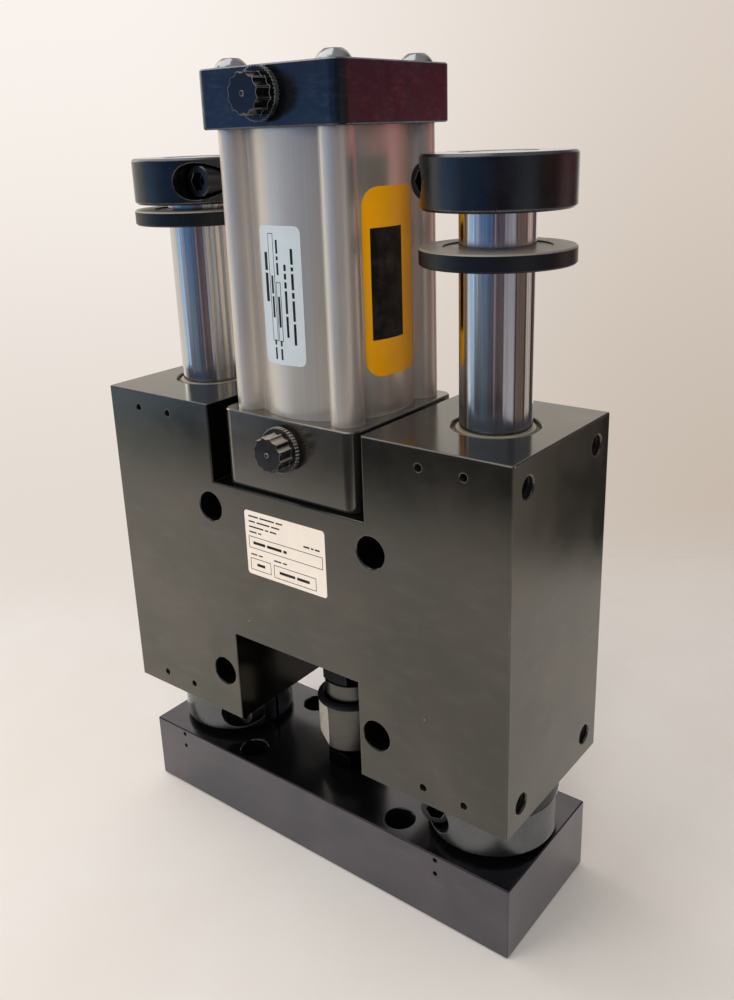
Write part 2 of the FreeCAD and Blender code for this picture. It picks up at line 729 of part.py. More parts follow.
def make_barrel():
    """The extruded tube with a blended boss for each tie bolt."""
    corners = four("tie_span", "tie_span")
    body = doc.addObject("PartDesign::Body", "barrel_extrusion")
    tube = sketch_on(body, "tube_circle", "XY_Plane")
    circles(tube, "barrel_dia", [("0", "0")])
    pad(body, "tube_pad", tube, BARREL_LENGTH)
    bosses = sketch_on(body, "boss_circles", "XY_Plane")
    circles(bosses, "boss_dia", corners)
    pad(body, "boss_pad", bosses, BARREL_LENGTH)
    fillet(body, "boss_blends", boss_corner, "boss_blend")
    tools = [round_bar("barrel_hole", "barrel_bore", BARREL_LENGTH)]
    for index, (x, y) in enumerate(corners):
        tools.append(round_bar(f"boss_hole_{index}", "tie_dia + 2 * tie_clearance", BARREL_LENGTH, x, y))
    piece(at(cut("barrel_cut", body, tools), z=HEAD_TOP), "cylinder_barrel")


def make_fasteners():
    """Tie bolts through cap and barrel, and screws that hold the head to the housing."""
    ball = "((tie_head_dia / 2) ^ 2 + tie_head_height ^ 2) / (2 * tie_head_height)"
    bolts = []
    for index, (x, y) in enumerate(four("tie_span", "tie_span")):
        dome = doc.addObject("Part::Sphere", f"tie_dome_{index}")
        start = f"asin(1 - tie_head_height / ({ball}))"
        bind(dome, {"Radius": ball, "Angle1": start, "Angle2": "tie_head_flat"})
        at(dome, z=f"tie_head_height - {ball}")
        length = f"cap_height + {BARREL_LENGTH} + tie_reach"
        shank = round_bar(f"tie_shank_{index}", "tie_dia", length, z=f"-({length})")
        socket_z = "tie_head_height - tie_socket_depth"
        socket = hexagon(f"tie_socket_{index}", "tie_socket", "tie_socket_depth", socket_z)
        bolt = cut(f"tie_bolt_{index}", joined(f"tie_blank_{index}", [dome, shank]), [socket])
        bolts.append(at(bolt, x, y, CAP_TOP))
    piece(group("tie_bolt_group", bolts), "tie_bolts")

    screws = []
    for index, (x, y) in enumerate(four("head_screw_span", "head_screw_span")):
        name = f"head_screw_{index}"
        head_z = "head_screw_recess - head_screw_head_height"
        head = round_bar(f"{name}_head", "head_screw_head_dia", "head_screw_head_height", z=head_z)
        length = f"{SLOT_Z} - {NOTCH_TOP} + head_screw_reach - head_screw_recess"
        shank = round_bar(f"{name}_shank", "head_screw_dia", length, z="head_screw_recess")
        socket = hexagon(f"{name}_socket", "head_screw_socket", "head_screw_socket_depth", head_z)
        screw = cut(name, joined(f"{name}_blank", [head, shank]), [socket])
        screws.append(at(screw, x, y, NOTCH_TOP))
    piece(group("head_screw_group", screws), "head_screws")


def make_gland():
    """Wiper, bushing and seal of the rod, stacked in the head."""
    inner = "rod_dia + 2 * running_clearance"
    outer = "gland_dia - 2 * seat_clearance"
    z = SLOT_Z
    heights = {
        "rod_wiper": "rod_wiper_height", "rod_bushing": "rod_bush_length", "rod_seal": "rod_seal_height",
    }
    for label, height in heights.items():
        piece(at(sleeve(f"{label}_ring", inner, outer, height), z=z), label)
        z = f"{z} + {height}"


def make_nut(name, thread, z):
    """A hexagon nut with chamfered corners, on a thread; its flats and height are named after it."""
    height = f"{name}_height"
    corner = f"({name}_flats / 2 / cos(30))"
    face = f"({name}_flats / 2 - edge_break)"
    drop = f"(({corner} - {face}) * tan(30))"
    barrel = turning(f"{name}_round", [
        ("0", "0"),
        (face, "0"),
        (corner, drop),
        (corner, f"{height} - {drop}"),
        (face, height),
        ("0", height),
    ])
    blank = doc.addObject("Part::MultiCommon", f"{name}_hex_chamfered")
    blank.Shapes = [hexagon(f"{name}_hex", f"{name}_flats", height), barrel]
    hole = round_bar(f"{name}_hole", f"{thread} + 2 * seat_clearance", height)
    piece(at(cut(f"{name}_cut", blank, [hole]), z=z), name)


def make_piston():
    """Piston with two seal grooves and a band groove, its seals, band, nut and rod."""
    face = "barrel_bore / 2 - piston_clearance"
    deep = "barrel_bore / 2 - seal_groove_depth"
    band = "barrel_bore / 2 - band_depth"
    low, high = "seal_groove_edge", "seal_groove_edge + seal_groove_width"
    half = [(face, "0"), (face, low), (deep, low), (deep, high), (face, high)]
    middle = "piston_length / 2 - band_width / 2"
    half = half + [(face, middle), (band, middle)]
    upper = [(r, "piston_length" if z == "0" else f"piston_length - ({z})") for r, z in reversed(half)]
    hole = "rod_stud_dia / 2 + seat_clearance"
    recess = "piston_length - piston_nut_height - edge_break"
    wide = "piston_recess_dia / 2"
    crown = [(wide, "piston_length"), (wide, recess), (hole, recess), (hole, "0")]
    piece(at(turning("piston_blank", half + upper + crown), z=PISTON_Z), "piston")

    outer = "barrel_bore - 2 * running_clearance"
    root = "barrel_bore - 2 * seal_groove_depth + 2 * seat_clearance"
    seals = []
    for index, z in enumerate((low, "piston_length - seal_groove_edge - seal_groove_width")):
        seal = sleeve(f"seal_{index}", root, outer, "seal_groove_width - seat_clearance")
        seals.append(at(seal, z=f"{PISTON_Z} + {z}"))
    piece(group("seal_group", seals), "piston_seals")
    root = "barrel_bore - 2 * band_depth + 2 * seat_clearance"
    ring = sleeve("band_ring", root, outer, "band_width - seat_clearance")
    piece(at(ring, z=f"{PISTON_Z} + {middle}"), "piston_wear_band")

    make_nut("piston_nut", "rod_stud_dia", f"{PISTON_Z} + {recess}")

    shoulder = f"{PISTON_Z} - {ROD_Z}"
    end = f"{shoulder} + {recess} + piston_nut_height"
    rod = turning("rod_blank", [
        ("0", "0"),
        ("rod_dia / 2 - edge_break", "0"),
        ("rod_dia / 2", "edge_break"),
        ("rod_dia / 2", shoulder),
        ("rod_stud_dia / 2", shoulder),
        ("rod_stud_dia / 2", end),
        ("0", end),
    ])
    piece(at(rod, z=ROD_Z), "piston_rod")


def make_coupler():
    """Coupler body with wrench flats, its upper ring, and the stud and jam nuts that hold it."""
    seat = "2 * seat_clearance"
    bar = turning("coupler_bar", [
        ("0", "0"),
        ("coupler_dia / 2 - coupler_edge", "0"),
        ("coupler_dia / 2", "coupler_edge"),
        ("coupler_dia / 2", "coupler_height - coupler_edge"),
        ("coupler_dia / 2 - coupler_edge", "coupler_height"),
        ("0", "coupler_height"),
    ])
    floor = "coupler_height - rod_seat_depth"
    tools = [
        round_bar("coupler_rod_seat", f"rod_dia + {seat}", "rod_seat_depth", z=floor),
        round_bar("coupler_stud_seat", f"stud_dia + {seat}", "stud_grip + edge_break"),
    ]
    for side, x in (("near", "coupler_flats / 2"), ("far", "-coupler_flats / 2 - coupler_dia")):
        tools.append(block(f"coupler_flat_{side}", "coupler_dia", "coupler_dia", "coupler_height", x,
                           "-coupler_dia / 2"))
    coupler = turned(cut("coupler_cut", bar, tools), "coupler_flat_turn")
    piece(at(coupler, z=COUPLER_Z), "rod_coupler")

    bore = f"rod_dia + {seat}"
    ring = sleeve("coupler_ring_turning", bore, "coupler_ring_dia", "coupler_ring_height", "edge_break")
    piece(at(ring, z=COUPLER_TOP), "coupler_ring")
    length = "stud_seat_depth + coupler_lift + stud_grip"
    stud = turning("stud_blank", [
        ("0", "0"),
        ("stud_dia / 2 - edge_break", "0"),
        ("stud_dia / 2", "edge_break"),
        ("stud_dia / 2", f"{length} - edge_break"),
        ("stud_dia / 2 - edge_break", length),
        ("0", length),
    ])
    piece(at(stud, z="plate_height - stud_seat_depth"), "coupler_stud")
    make_nut("coupler_jam_nut", "stud_dia", "plate_height")
    make_nut("rod_jam_nut", "rod_dia", f"{COUPLER_TOP} + coupler_ring_height")


def ringed(body, name, sketch, depth, count):
    """Pocket a sketch upwards and repeat the cut round the body's axis."""
    pocket = body.newObject("PartDesign::Pocket", f"{name}_cut")
    pocket.Profile = sketch
    pocket.Reversed = True
    bind(pocket, {"Length": depth})
    pattern = body.newObject("PartDesign::PolarPattern", f"{name}_ring")
    pattern.Originals = [pocket]
    pattern.Axis = (sketch, ["N_Axis"])
    pattern.Angle = 360
    bind(pattern, {"Occurrences": count})
    body.Tip = pattern


def make_plug(name, z):
    """A port plug: stem, toothed flange and a fluted knob with a small nub."""
    knob, flange = "plug_knob_dia / 2", "plug_flange_dia / 2"
    front = "plug_flange_rise + plug_flange_thickness"
    body = turning(f"{name}_blank", [
        ("0", "-plug_stem_length"),
        ("plug_stem_dia / 2", "-plug_stem_length"),
        ("plug_stem_dia / 2", "plug_flange_rise"),
        (flange, "plug_flange_rise"),
        (flange, front),
        (knob, front),
        (knob, "plug_reach - plug_knob_edge"),
        (f"{knob} - plug_knob_edge", "plug_reach"),
        ("plug_nub_dia / 2", "plug_reach"),
        ("plug_nub_dia / 2", "plug_reach + plug_nub_height"),
        ("0", "plug_reach + plug_nub_height"),
    ])
    tooth = sketch_on(body, f"{name}_tooth", "XY_Plane")
    bind(tooth, {"AttachmentOffset.Base.z": "plug_flange_rise"})
    mouth = f"{flange} + plug_tooth_depth"
    outline(tooth, [
        (f"{flange} - plug_tooth_depth", "0"), (mouth, "-plug_tooth_width"), (mouth, "plug_tooth_width"),
    ])
    ringed(body, f"{name}_tooth", tooth, "plug_flange_thickness", "plug_teeth")
    flute = sketch_on(body, f"{name}_flute", "XY_Plane")
    bind(flute, {"AttachmentOffset.Base.z": front})
    circles(flute, "plug_flute_dia", [(f"{knob} + plug_flute_dia / 2 - plug_flute_depth", "0")])
    ringed(body, f"{name}_flute", flute, "plug_reach", "plug_flutes")
    body.Placement = Placement(Vector(), FRONT)
    piece(at(body, "0", "-cap_square / 2", z), name)


def write_pieces():
    """Check every object, then write one file for each sub-part."""
    doc.recompute()
    for item in doc.Objects:
        if "Invalid" in item.State or "Error" in item.State:
            raise RuntimeError(f"{item.Label} did not build: {item.State}")
    os.makedirs("parts", exist_ok=True)
    for item in pieces:
        if item.Shape.isNull() or not item.Shape.isValid():
            raise RuntimeError(f"{item.Label} has no valid shape")
        item.Shape.exportStep(f"parts/{item.Label}.step")
        print(f"{item.Label}: {len(item.Shape.Solids)} solid, {item.Shape.Volume:.0f} mm3")


fill_sheet()
make_tool_plate()
make_shafts()
make_collars()
make_bumpers()
make_housing()
make_bushings()
make_cylinder_ends()
make_barrel()
make_fasteners()
make_gland()
make_piston()
make_coupler()
make_plug("cap_port_plug", f"{CAP_Z} + cap_port_rise")
make_plug("head_port_plug", f"{HEAD_TOP} - head_port_drop")
write_pieces()
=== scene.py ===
import logging
import math
import random
from dataclasses import dataclass
from enum import Enum
from typing import Any, Callable, Sequence

import bpy
from mathutils import Matrix, Vector


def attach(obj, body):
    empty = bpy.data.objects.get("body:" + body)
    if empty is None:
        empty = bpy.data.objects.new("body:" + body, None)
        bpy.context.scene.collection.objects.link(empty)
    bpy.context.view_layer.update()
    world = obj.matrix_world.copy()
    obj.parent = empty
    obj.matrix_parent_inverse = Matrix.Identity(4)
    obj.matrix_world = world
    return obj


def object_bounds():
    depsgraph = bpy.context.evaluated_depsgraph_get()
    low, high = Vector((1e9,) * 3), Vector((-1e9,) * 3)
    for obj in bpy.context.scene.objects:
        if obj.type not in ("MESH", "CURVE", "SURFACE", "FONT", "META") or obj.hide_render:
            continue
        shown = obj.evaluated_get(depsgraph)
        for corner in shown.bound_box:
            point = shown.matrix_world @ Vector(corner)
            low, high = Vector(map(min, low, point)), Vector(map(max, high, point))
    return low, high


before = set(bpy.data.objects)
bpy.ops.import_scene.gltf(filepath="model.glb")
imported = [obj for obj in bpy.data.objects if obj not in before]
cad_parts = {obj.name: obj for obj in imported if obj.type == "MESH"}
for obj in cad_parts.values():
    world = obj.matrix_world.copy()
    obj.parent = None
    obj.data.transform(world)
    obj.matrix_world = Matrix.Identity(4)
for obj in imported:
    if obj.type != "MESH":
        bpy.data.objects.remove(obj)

Socket = bpy.types.NodeSocket
Feed = Socket | tuple[float, ...] | float
Pair = tuple[float, float]
Triple = tuple[float, float, float]
Colour = tuple[float, float, float, float]
# Left, low, right and high.
Box = tuple[float, float, float, float]

CAD_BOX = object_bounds()
MM = 0.001
# Most values of a noise lie in this span.
NOISE_SPAN = (0.3, 0.7)
log = logging.getLogger("slide_table_cylinder")


class Body(Enum):
    """The bodies of the frame that pieces ride on."""

    CARRIAGE = "carriage"
    SLIDE = "slide_body"


class Slot(Enum):
    """The record's material slots."""

    BLACK_ANODISED = "black_anodised"
    HARD_CHROME = "hard_chrome"
    BLACK_OXIDE = "black_oxide"
    BRIGHT_STEEL = "bright_steel"
    CLEAR_ANODISED = "clear_anodised"
    BUMPER_URETHANE = "bumper_urethane"
    WIPER_URETHANE = "wiper_urethane"
    BEARING_BRONZE = "bearing_bronze"
    PLUG_PLASTIC = "plug_plastic"
    SEAL_RUBBER = "seal_rubber"
    PISTON_ALLOY = "piston_alloy"


class Ramp(Enum):
    """The ways in which a value is carried over from one range to another."""

    STRAIGHT = "LINEAR"
    SOFT = "SMOOTHSTEP"


class Blend(Enum):
    """The ways in which two colours are put together."""

    MIX = "MIX"
    MULTIPLY = "MULTIPLY"


def to_linear(colour: str, share: float = 1.0) -> Colour:
    """Turns an sRGB hex colour into the linear colour that shaders take.

    Args:
        colour: The colour as #rrggbb.
        share: A factor that dims or brightens it.

    Returns:
        Red, green, blue and a full alpha.
    """
    values = [int(colour[start:start + 2], 16) / 255 for start in (1, 3, 5)]
    red, green, blue = (share * (v / 12.92 if v <= 0.04045 else ((v + 0.055) / 1.055) ** 2.4) for v in values)
    return red, green, blue, 1.0


def per(size: float) -> float:
    """The texture scale that gives a pattern of this size in millimetres."""
    return 1 / (size * MM)


def feed_node(tree: bpy.types.NodeTree, node: bpy.types.Node, links: dict[str | int, Any]) -> None:
    """Sets inputs of a node.

    Args:
        tree: The node's tree.
        node: The node.
        links: For each input, by name, identifier or index, a value or the output that feeds it.
    """
    for key, value in links.items():
        by_name = (s for s in node.inputs if key in (s.identifier, s.name))
        socket = node.inputs[key] if isinstance(key, int) else next(by_name)
        if isinstance(value, Socket):
            tree.links.new(value, socket)
        else:
            socket.default_value = value


def add_node(
    tree: bpy.types.NodeTree, kind: str, settings: dict[str, Any] | None = None,
    links: dict[str | int, Any] | None = None,
) -> bpy.types.Node:
    """Adds a node with its settings and links.

    Args:
        tree: The node tree that takes the node.
        kind: The type name of the node.
        settings: Values for the node's own properties.
        links: Its inputs; see feed_node.

    Returns:
        The new node.
    """
    node = tree.nodes.new(kind)
    for name, value in (settings or {}).items():
        setattr(node, name, value)
    feed_node(tree, node, links or {})
    return node


class Nodes:
    """A node tree with short calls for the kinds of node that repeat."""

    def __init__(self, tree: bpy.types.NodeTree) -> None:
        """Takes over a tree and empties it.

        Args:
            tree: The tree of a material or a world.
        """
        self.tree = tree
        tree.nodes.clear()

    def add(
        self, kind: str, settings: dict[str, Any] | None = None, links: dict[str | int, Any] | None = None
    ) -> bpy.types.Node:
        """Adds a node to this tree; see add_node."""
        return add_node(self.tree, kind, settings, links)

    def math(self, operation: str, *values: Feed) -> Socket:
        """Works out a number from one to three numbers."""
        return self.add("ShaderNodeMath", {"operation": operation}, dict(enumerate(values))).outputs[0]

    def product(self, *masks: Socket) -> Socket:
        """Multiplies masks with each other.

        Args:
            masks: The masks.

        Returns:
            Their product.
        """
        total = masks[0]
        for mask in masks[1:]:
            total = self.math("MULTIPLY", total, mask)
        return total

    def measure(self, operation: str, first: Feed, second: Feed) -> Socket:
        """Works out a number from two vectors, such as their distance."""
        return self.add("ShaderNodeVectorMath", {"operation": operation}, {0: first, 1: second}).outputs["Value"]

    def axes(self, vector: Socket) -> tuple[Socket, ...]:
        """Splits a vector into X, Y and Z."""
        return tuple(self.add("ShaderNodeSeparateXYZ", links={0: vector}).outputs)

    def span(
        self, value: Socket, ends: Pair, low: float = 0.0, high: float = 1.0, ramp: Ramp = Ramp.STRAIGHT
    ) -> Socket:
        """Carries a value over from one range to another.

        Args:
            value: The value.
            ends: Where its range starts and ends; beyond, the result stays the same.
            low: The result at the start.
            high: The result at the end.
            ramp: The way from one to the other.

        Returns:
            The result.
        """
        return self.add("ShaderNodeMapRange", {"interpolation_type": ramp.value}, {
            "Value": value, "From Min": ends[0], "From Max": ends[1], "To Min": low, "To Max": high}).outputs[0]

    def evened(self, noise: Socket, low: float = 0.0, high: float = 1.0) -> Socket:
        """Spreads a noise over the range from low to high."""
        return self.span(noise, NOISE_SPAN, low, high)

    def mix(self, share: Feed, first: Feed, second: Feed, blend: Blend = Blend.MIX, clamp: bool = False) -> Socket:
        """Puts two colours together.

        Args:
            share: How much of the second colour acts.
            first: The colour under it.
            second: The second colour.
            blend: The way in which it acts.
            clamp: Whether the result stays below white.

        Returns:
            The mixed colour.
        """
        settings = {"data_type": "RGBA", "blend_type": blend.value, "clamp_result": clamp}
        return self.add("ShaderNodeMix", settings, {
            "Factor_Float": share, "A_Color": first, "B_Color": second}).outputs[2]


class Surface(Nodes):
    """A material under construction: its tree, its shader and the place on the piece that wears it."""

    BEVEL_SAMPLES = 6
    # How far an edge turns the softened normal, from hardly to fully, as the dot product with the true one.
    EDGE_TURN = (0.995, 0.90)
    # Edge wear and the painted edge highlight come in patches of this size in millimetres; between them a share of it
    # is left.
    PATCH_SIZE = 9.0
    PATCH_SPAN = (0.38, 0.62)
    PATCH_LEAST = 0.25
    # Masks of slots and holes end this far beyond the walls, in millimetres; those of holes start to fade a bit out.
    WALL_FADE = 0.3
    BORE_FADE = 0.1
    # A painted highlight lies on faces that look up at least this much, and fully at the second value.
    SHEEN_SLOPE = (0.25, 0.9)
    # A speck covers fully within this share of its radius.
    SPECK_CORE = 0.6

    def __init__(self, name: str) -> None:
        """Starts the material.

        Args:
            name: The material's name.
        """
        self.material = bpy.data.materials.new(name)
        self.material.use_nodes = True
        super().__init__(self.material.node_tree)
        self.shader = self.add("ShaderNodeBsdfPrincipled")
        self.add("ShaderNodeOutputMaterial", links={"Surface": self.shader.outputs["BSDF"]})
        self.place = self.add("ShaderNodeTexCoord").outputs["Object"]

    def wear(self, feeds: dict[str, Feed]) -> None:
        """Sets inputs of the shader, by name, to values or outputs."""
        feed_node(self.tree, self.shader, feeds)

    def noise(self, size: float | Triple, detail: float, roughness: float = 0.5, distortion: float = 0.0) -> Socket:
        """A noise over the surface.

        Args:
            size: The size of the pattern in millimetres, or its sizes along X, Y and Z.
            detail: How many finer layers it has.
            roughness: How strong the finer layers are.
            distortion: How much it is stirred.

        Returns:
            The noise.
        """
        vector, scale = self.place, 1.0
        if isinstance(size, tuple):
            stretch = {"Vector": self.place, "Scale": tuple(per(length) for length in size)}
            vector = self.add("ShaderNodeMapping", links=stretch).outputs[0]
        else:
            scale = per(size)
        return self.add("ShaderNodeTexNoise", links={
            "Vector": vector, "Scale": scale, "Detail": detail, "Roughness": roughness,
            "Distortion": distortion}).outputs["Fac"]

    def rounded(self, width: float) -> Socket:
        """The surface's normal with its sharp edges softened.

        Args:
            width: How far the softening reaches from an edge, in millimetres.

        Returns:
            The normal.
        """
        return self.add("ShaderNodeBevel", {"samples": self.BEVEL_SAMPLES}, {"Radius": width * MM}).outputs[0]

    def worn_and_highlit_edges(self, width: float, most: float) -> Socket:
        """A mask of the edges that handling has rubbed, which also carries a painted edge highlight.

        Args:
            width: How far the wear reaches from an edge, in millimetres.
            most: The mask's value at a fully worn and highlit edge.

        Returns:
            The mask, broken up along the edge.
        """
        flat = self.add("ShaderNodeNewGeometry").outputs["Normal"]
        turn = self.measure("DOT_PRODUCT", self.rounded(width), flat)
        edge = self.span(turn, self.EDGE_TURN, 0.0, most, Ramp.SOFT)
        patches = self.noise(self.PATCH_SIZE, detail=4.0, roughness=0.65)
        return self.product(edge, self.span(patches, self.PATCH_SPAN, self.PATCH_LEAST))

    def glancing(self, low: float, high: float, most: float) -> Socket:
        """A factor that changes where the surface is seen at a glancing angle.

        Args:
            low: The share of the turn from facing to edge-on at which the change starts.
            high: The share at which it is complete.
            most: The factor from there on; it is one when facing.

        Returns:
            The factor.
        """
        turned = self.add("ShaderNodeLayerWeight", links={"Blend": 0.5}).outputs["Facing"]
        return self.span(turned, (low, high), 1.0, most)

    def within(self, half_width: float, low: float, high: float) -> Socket:
        """A mask of a recess that runs through the piece from front to back.

        Args:
            half_width: How far the recess reaches to either side of the middle, in millimetres.
            low: Its lowest level in millimetres.
            high: Its highest level.

        Returns:
            The mask, one in the recess.
        """
        across, _, up = self.axes(self.place)
        aside = self.math("ABSOLUTE", across)
        walls = ((aside, half_width, self.WALL_FADE), (up, low, -self.WALL_FADE), (up, high, self.WALL_FADE))
        return self.product(*(
            self.span(value, ((wall + fade) * MM, wall * MM)) for value, wall, fade in walls))

    def bored(self, aside: float, level: float, radius: float) -> Socket:
        """A mask of two holes that run through the piece from front to back.

        Args:
            aside: How far the holes stand to either side of the middle, in millimetres.
            level: Their level in millimetres.
            radius: Their radius.

        Returns:
            The mask, one in the holes.
        """
        across, _, up = self.axes(self.place)
        spot = self.add("ShaderNodeCombineXYZ", links={"X": self.math("ABSOLUTE", across), "Z": up}).outputs[0]
        reach = self.measure("DISTANCE", spot, (aside * MM, 0.0, level * MM))
        return self.span(reach, ((radius + self.WALL_FADE) * MM, (radius + self.BORE_FADE) * MM))

    def upward_sheen(self, most: float) -> Socket:
        """A mask of the painted highlight on faces that look up, with its largest value."""
        *_, upward = self.axes(self.add("ShaderNodeNewGeometry").outputs["Normal"])
        return self.span(upward, self.SHEEN_SLOPE, 0.0, most, Ramp.SOFT)

    def dust(self, spacing: float, size: float) -> Socket:
        """A mask of scattered specks.

        Args:
            spacing: The distance between specks in millimetres.
            size: The radius of a speck in millimetres.

        Returns:
            The mask, one on a speck.
        """
        cells = self.add("ShaderNodeTexVoronoi", links={"Vector": self.place, "Scale": per(spacing)})
        radius = size / spacing
        return self.span(cells.outputs["Distance"], (radius, self.SPECK_CORE * radius))

    def relief(self, height: Socket, depth: float, strength: float, edge: float) -> None:
        """Gives the surface a fine relief and soft edges.

        Args:
            height: The pattern, from low to high.
            depth: The height of the pattern in millimetres.
            strength: How much of it shows.
            edge: How far the edges are softened, in millimetres.
        """
        bump = self.add("ShaderNodeBump", links={
            "Strength": strength, "Distance": depth * MM, "Height": height, "Normal": self.rounded(edge)})
        self.wear({"Normal": bump.outputs["Normal"]})


@dataclass(frozen=True)
class Finish:
    """A surface finish: what the material is and how its surface was made."""

    name: str
    slot: Slot
    colour: str
    roughness: float

    def material(self) -> bpy.types.Material:
        """The finish's material, made on first use.

        Returns:
            The material.
        """
        if self.name not in bpy.data.materials:
            self.paint(Surface(self.name))
        return bpy.data.materials[self.name]

    def paint(self, surface: Surface) -> None:
        """Gives a new material the look of this finish; every kind of finish has its own way."""
        raise NotImplementedError

    def gloss(self, surface: Surface, pattern: Socket, change: Pair) -> Socket:
        """The finish's roughness, changed by a pattern.

        Args:
            surface: The material under construction.
            pattern: The pattern.
            change: What is added where the pattern is low and where it is high.

        Returns:
            The roughness.
        """
        less, more = change
        return surface.evened(pattern, self.roughness + less, self.roughness + more)

    def toned(self, surface: Surface, pattern: Socket, dull: float) -> Socket:
        """The finish's colour, dimmed by a pattern.

        Args:
            surface: The material under construction.
            pattern: The pattern, zero where the colour is dimmed.
            dull: The share of the colour that is left there.

        Returns:
            The colour.
        """
        return surface.mix(pattern, to_linear(self.colour, dull), to_linear(self.colour))


@dataclass(frozen=True)
class AnodisedAluminium(Finish):
    """Aluminium, milled and dyed black in the anodising bath.

    The oxide keeps a satin sheen that mirrors bright floors softly, so lit faces go warm grey and shaded ones
    stay black. Handling polishes the edges and leaves faint smears and specks. The pale edges also carry a
    painted highlight, and a painted sheen brightens the colour at glancing angles.
    """

    # Colour of the worn edges; it also carries a painted edge highlight.
    worn_highlit_colour: str = "#a9a6a2"
    smear_size: float = 46.0
    smear_depth: float = 0.05
    # Smears lean warm where they are light and cool where they are dark; green and blue change by a share of red.
    smear_tone: float = 0.17
    smear_cool: float = 0.64
    # Milling marks of about 0.1 mm are drawn at 0.5 mm so that they show.
    mark_size: float = 0.5
    mark_length: float = 30.0
    mark_gloss: float = 0.05
    mark_depth: float = 0.004
    edge_width: float = 0.6
    edge_wear_and_highlight: float = 0.35
    haze: float = 0.03
    haze_size: float = 5.0
    haze_stretch: float = 3.0
    haze_span: Pair = (0.5, 0.8)
    haze_colour: str = "#dfe4ea"
    speck_spacing: float = 13.0
    speck_size: float = 0.24
    speck_colour: str = "#e6e1da"
    # Seen at a glancing angle, the colour is brightened up to this factor: a painted sheen.
    glance: Triple = (0.3, 0.7, 1.9)
    # Painted shade: the walls of the slots and holes are darkened, so they stay deep black.
    shaded_recesses: tuple[Triple, ...] = ()
    shaded_bores: tuple[Triple, ...] = ()
    painted_recess_shade: float = 0.22
    metallic: float = 0.92

    def paint(self, surface: Surface) -> None:
        """Gives a new material the look of this finish.

        Args:
            surface: The material.
        """
        smears = surface.noise(self.smear_size, detail=5.0, roughness=0.6, distortion=0.4)
        red, green, blue, _ = to_linear(self.colour)
        dark, light = (
            ((1.0 + warm) * red, (1.0 + self.smear_cool * warm) * green, (1.0 + self.smear_cool * warm) * blue, 1.0)
            for warm in (-self.smear_tone, self.smear_tone))
        colour = surface.mix(surface.evened(smears), dark, light)
        level = self.haze_stretch * self.haze_size
        wiped = surface.noise((level, level, self.haze_size), detail=6.0, roughness=0.72)
        hazed = surface.span(wiped, self.haze_span, 0.0, self.haze)
        colour = surface.mix(hazed, colour, to_linear(self.haze_colour))
        # Worn edges, with a painted edge highlight.
        colour = surface.mix(surface.worn_and_highlit_edges(self.edge_width, self.edge_wear_and_highlight), colour, to_linear(self.worn_highlit_colour))
        specks = surface.dust(self.speck_spacing, self.speck_size)
        colour = surface.mix(specks, colour, to_linear(self.speck_colour))
        # Painted sheen: brighter where the surface is seen at a glancing angle.
        colour = surface.mix(1.0, colour, surface.glancing(*self.glance), Blend.MULTIPLY)
        painted_shade_cuts = [surface.within(*recess) for recess in self.shaded_recesses] + [surface.bored(*bore) for bore in self.shaded_bores]
        # Painted shade in the slots and holes.
        for cut in painted_shade_cuts:
            shade = surface.span(cut, (0.0, 1.0), 1.0, self.painted_recess_shade)
            colour = surface.mix(1.0, colour, shade, Blend.MULTIPLY)
        marks = surface.noise((self.mark_size, self.mark_size, self.mark_length), detail=3.0, roughness=0.6)
        gloss = self.gloss(surface, smears, (-self.smear_depth, self.smear_depth))
        surface.wear({
            "Base Color": colour, "Metallic": surface.span(specks, (0.0, 1.0), self.metallic, 0.0),
            "Roughness": surface.math("MULTIPLY_ADD", marks, self.mark_gloss, gloss)})
        surface.relief(marks, self.mark_depth, strength=0.25, edge=self.edge_width)


@dataclass(frozen=True)
class GroundChrome(Finish):
    """Steel bar, centreless ground and hard chromed.

    It mirrors its surroundings in tall sharp streaks, with hair-fine grinding rings and rub marks along the travel.
    """

    # Grinding rings of a few hundredths are drawn at 0.4 mm so that they show; the finest only spread reflections.
    ring_size: float = 0.4
    ring_length: float = 60.0
    ring_depth: float = 0.0015
    spread: float = 0.95
    spread_turn: float = 0.25
    rub_size: float = 0.8
    rub_length: float = 70.0
    rub_gloss: Pair = (1.5, 0.7)
    dull: float = 0.78
    edge_width: float = 0.3

    def paint(self, surface: Surface) -> None:
        """Gives a new material the look of this finish.

        Args:
            surface: The material.
        """
        surface.wear({"Metallic": 1.0, "Anisotropic": self.spread, "Anisotropic Rotation": self.spread_turn})
        ground = surface.noise((self.ring_length, self.ring_length, self.ring_size), detail=2.0)
        marked = surface.noise((self.rub_size, self.rub_size, self.rub_length), detail=4.0, roughness=0.7)
        dullest, brightest = self.rub_gloss
        surface.wear({
            "Base Color": self.toned(surface, surface.evened(marked), self.dull),
            "Roughness": surface.evened(marked, dullest * self.roughness, brightest * self.roughness)})
        surface.relief(ground, self.ring_depth, strength=0.2, edge=self.edge_width)


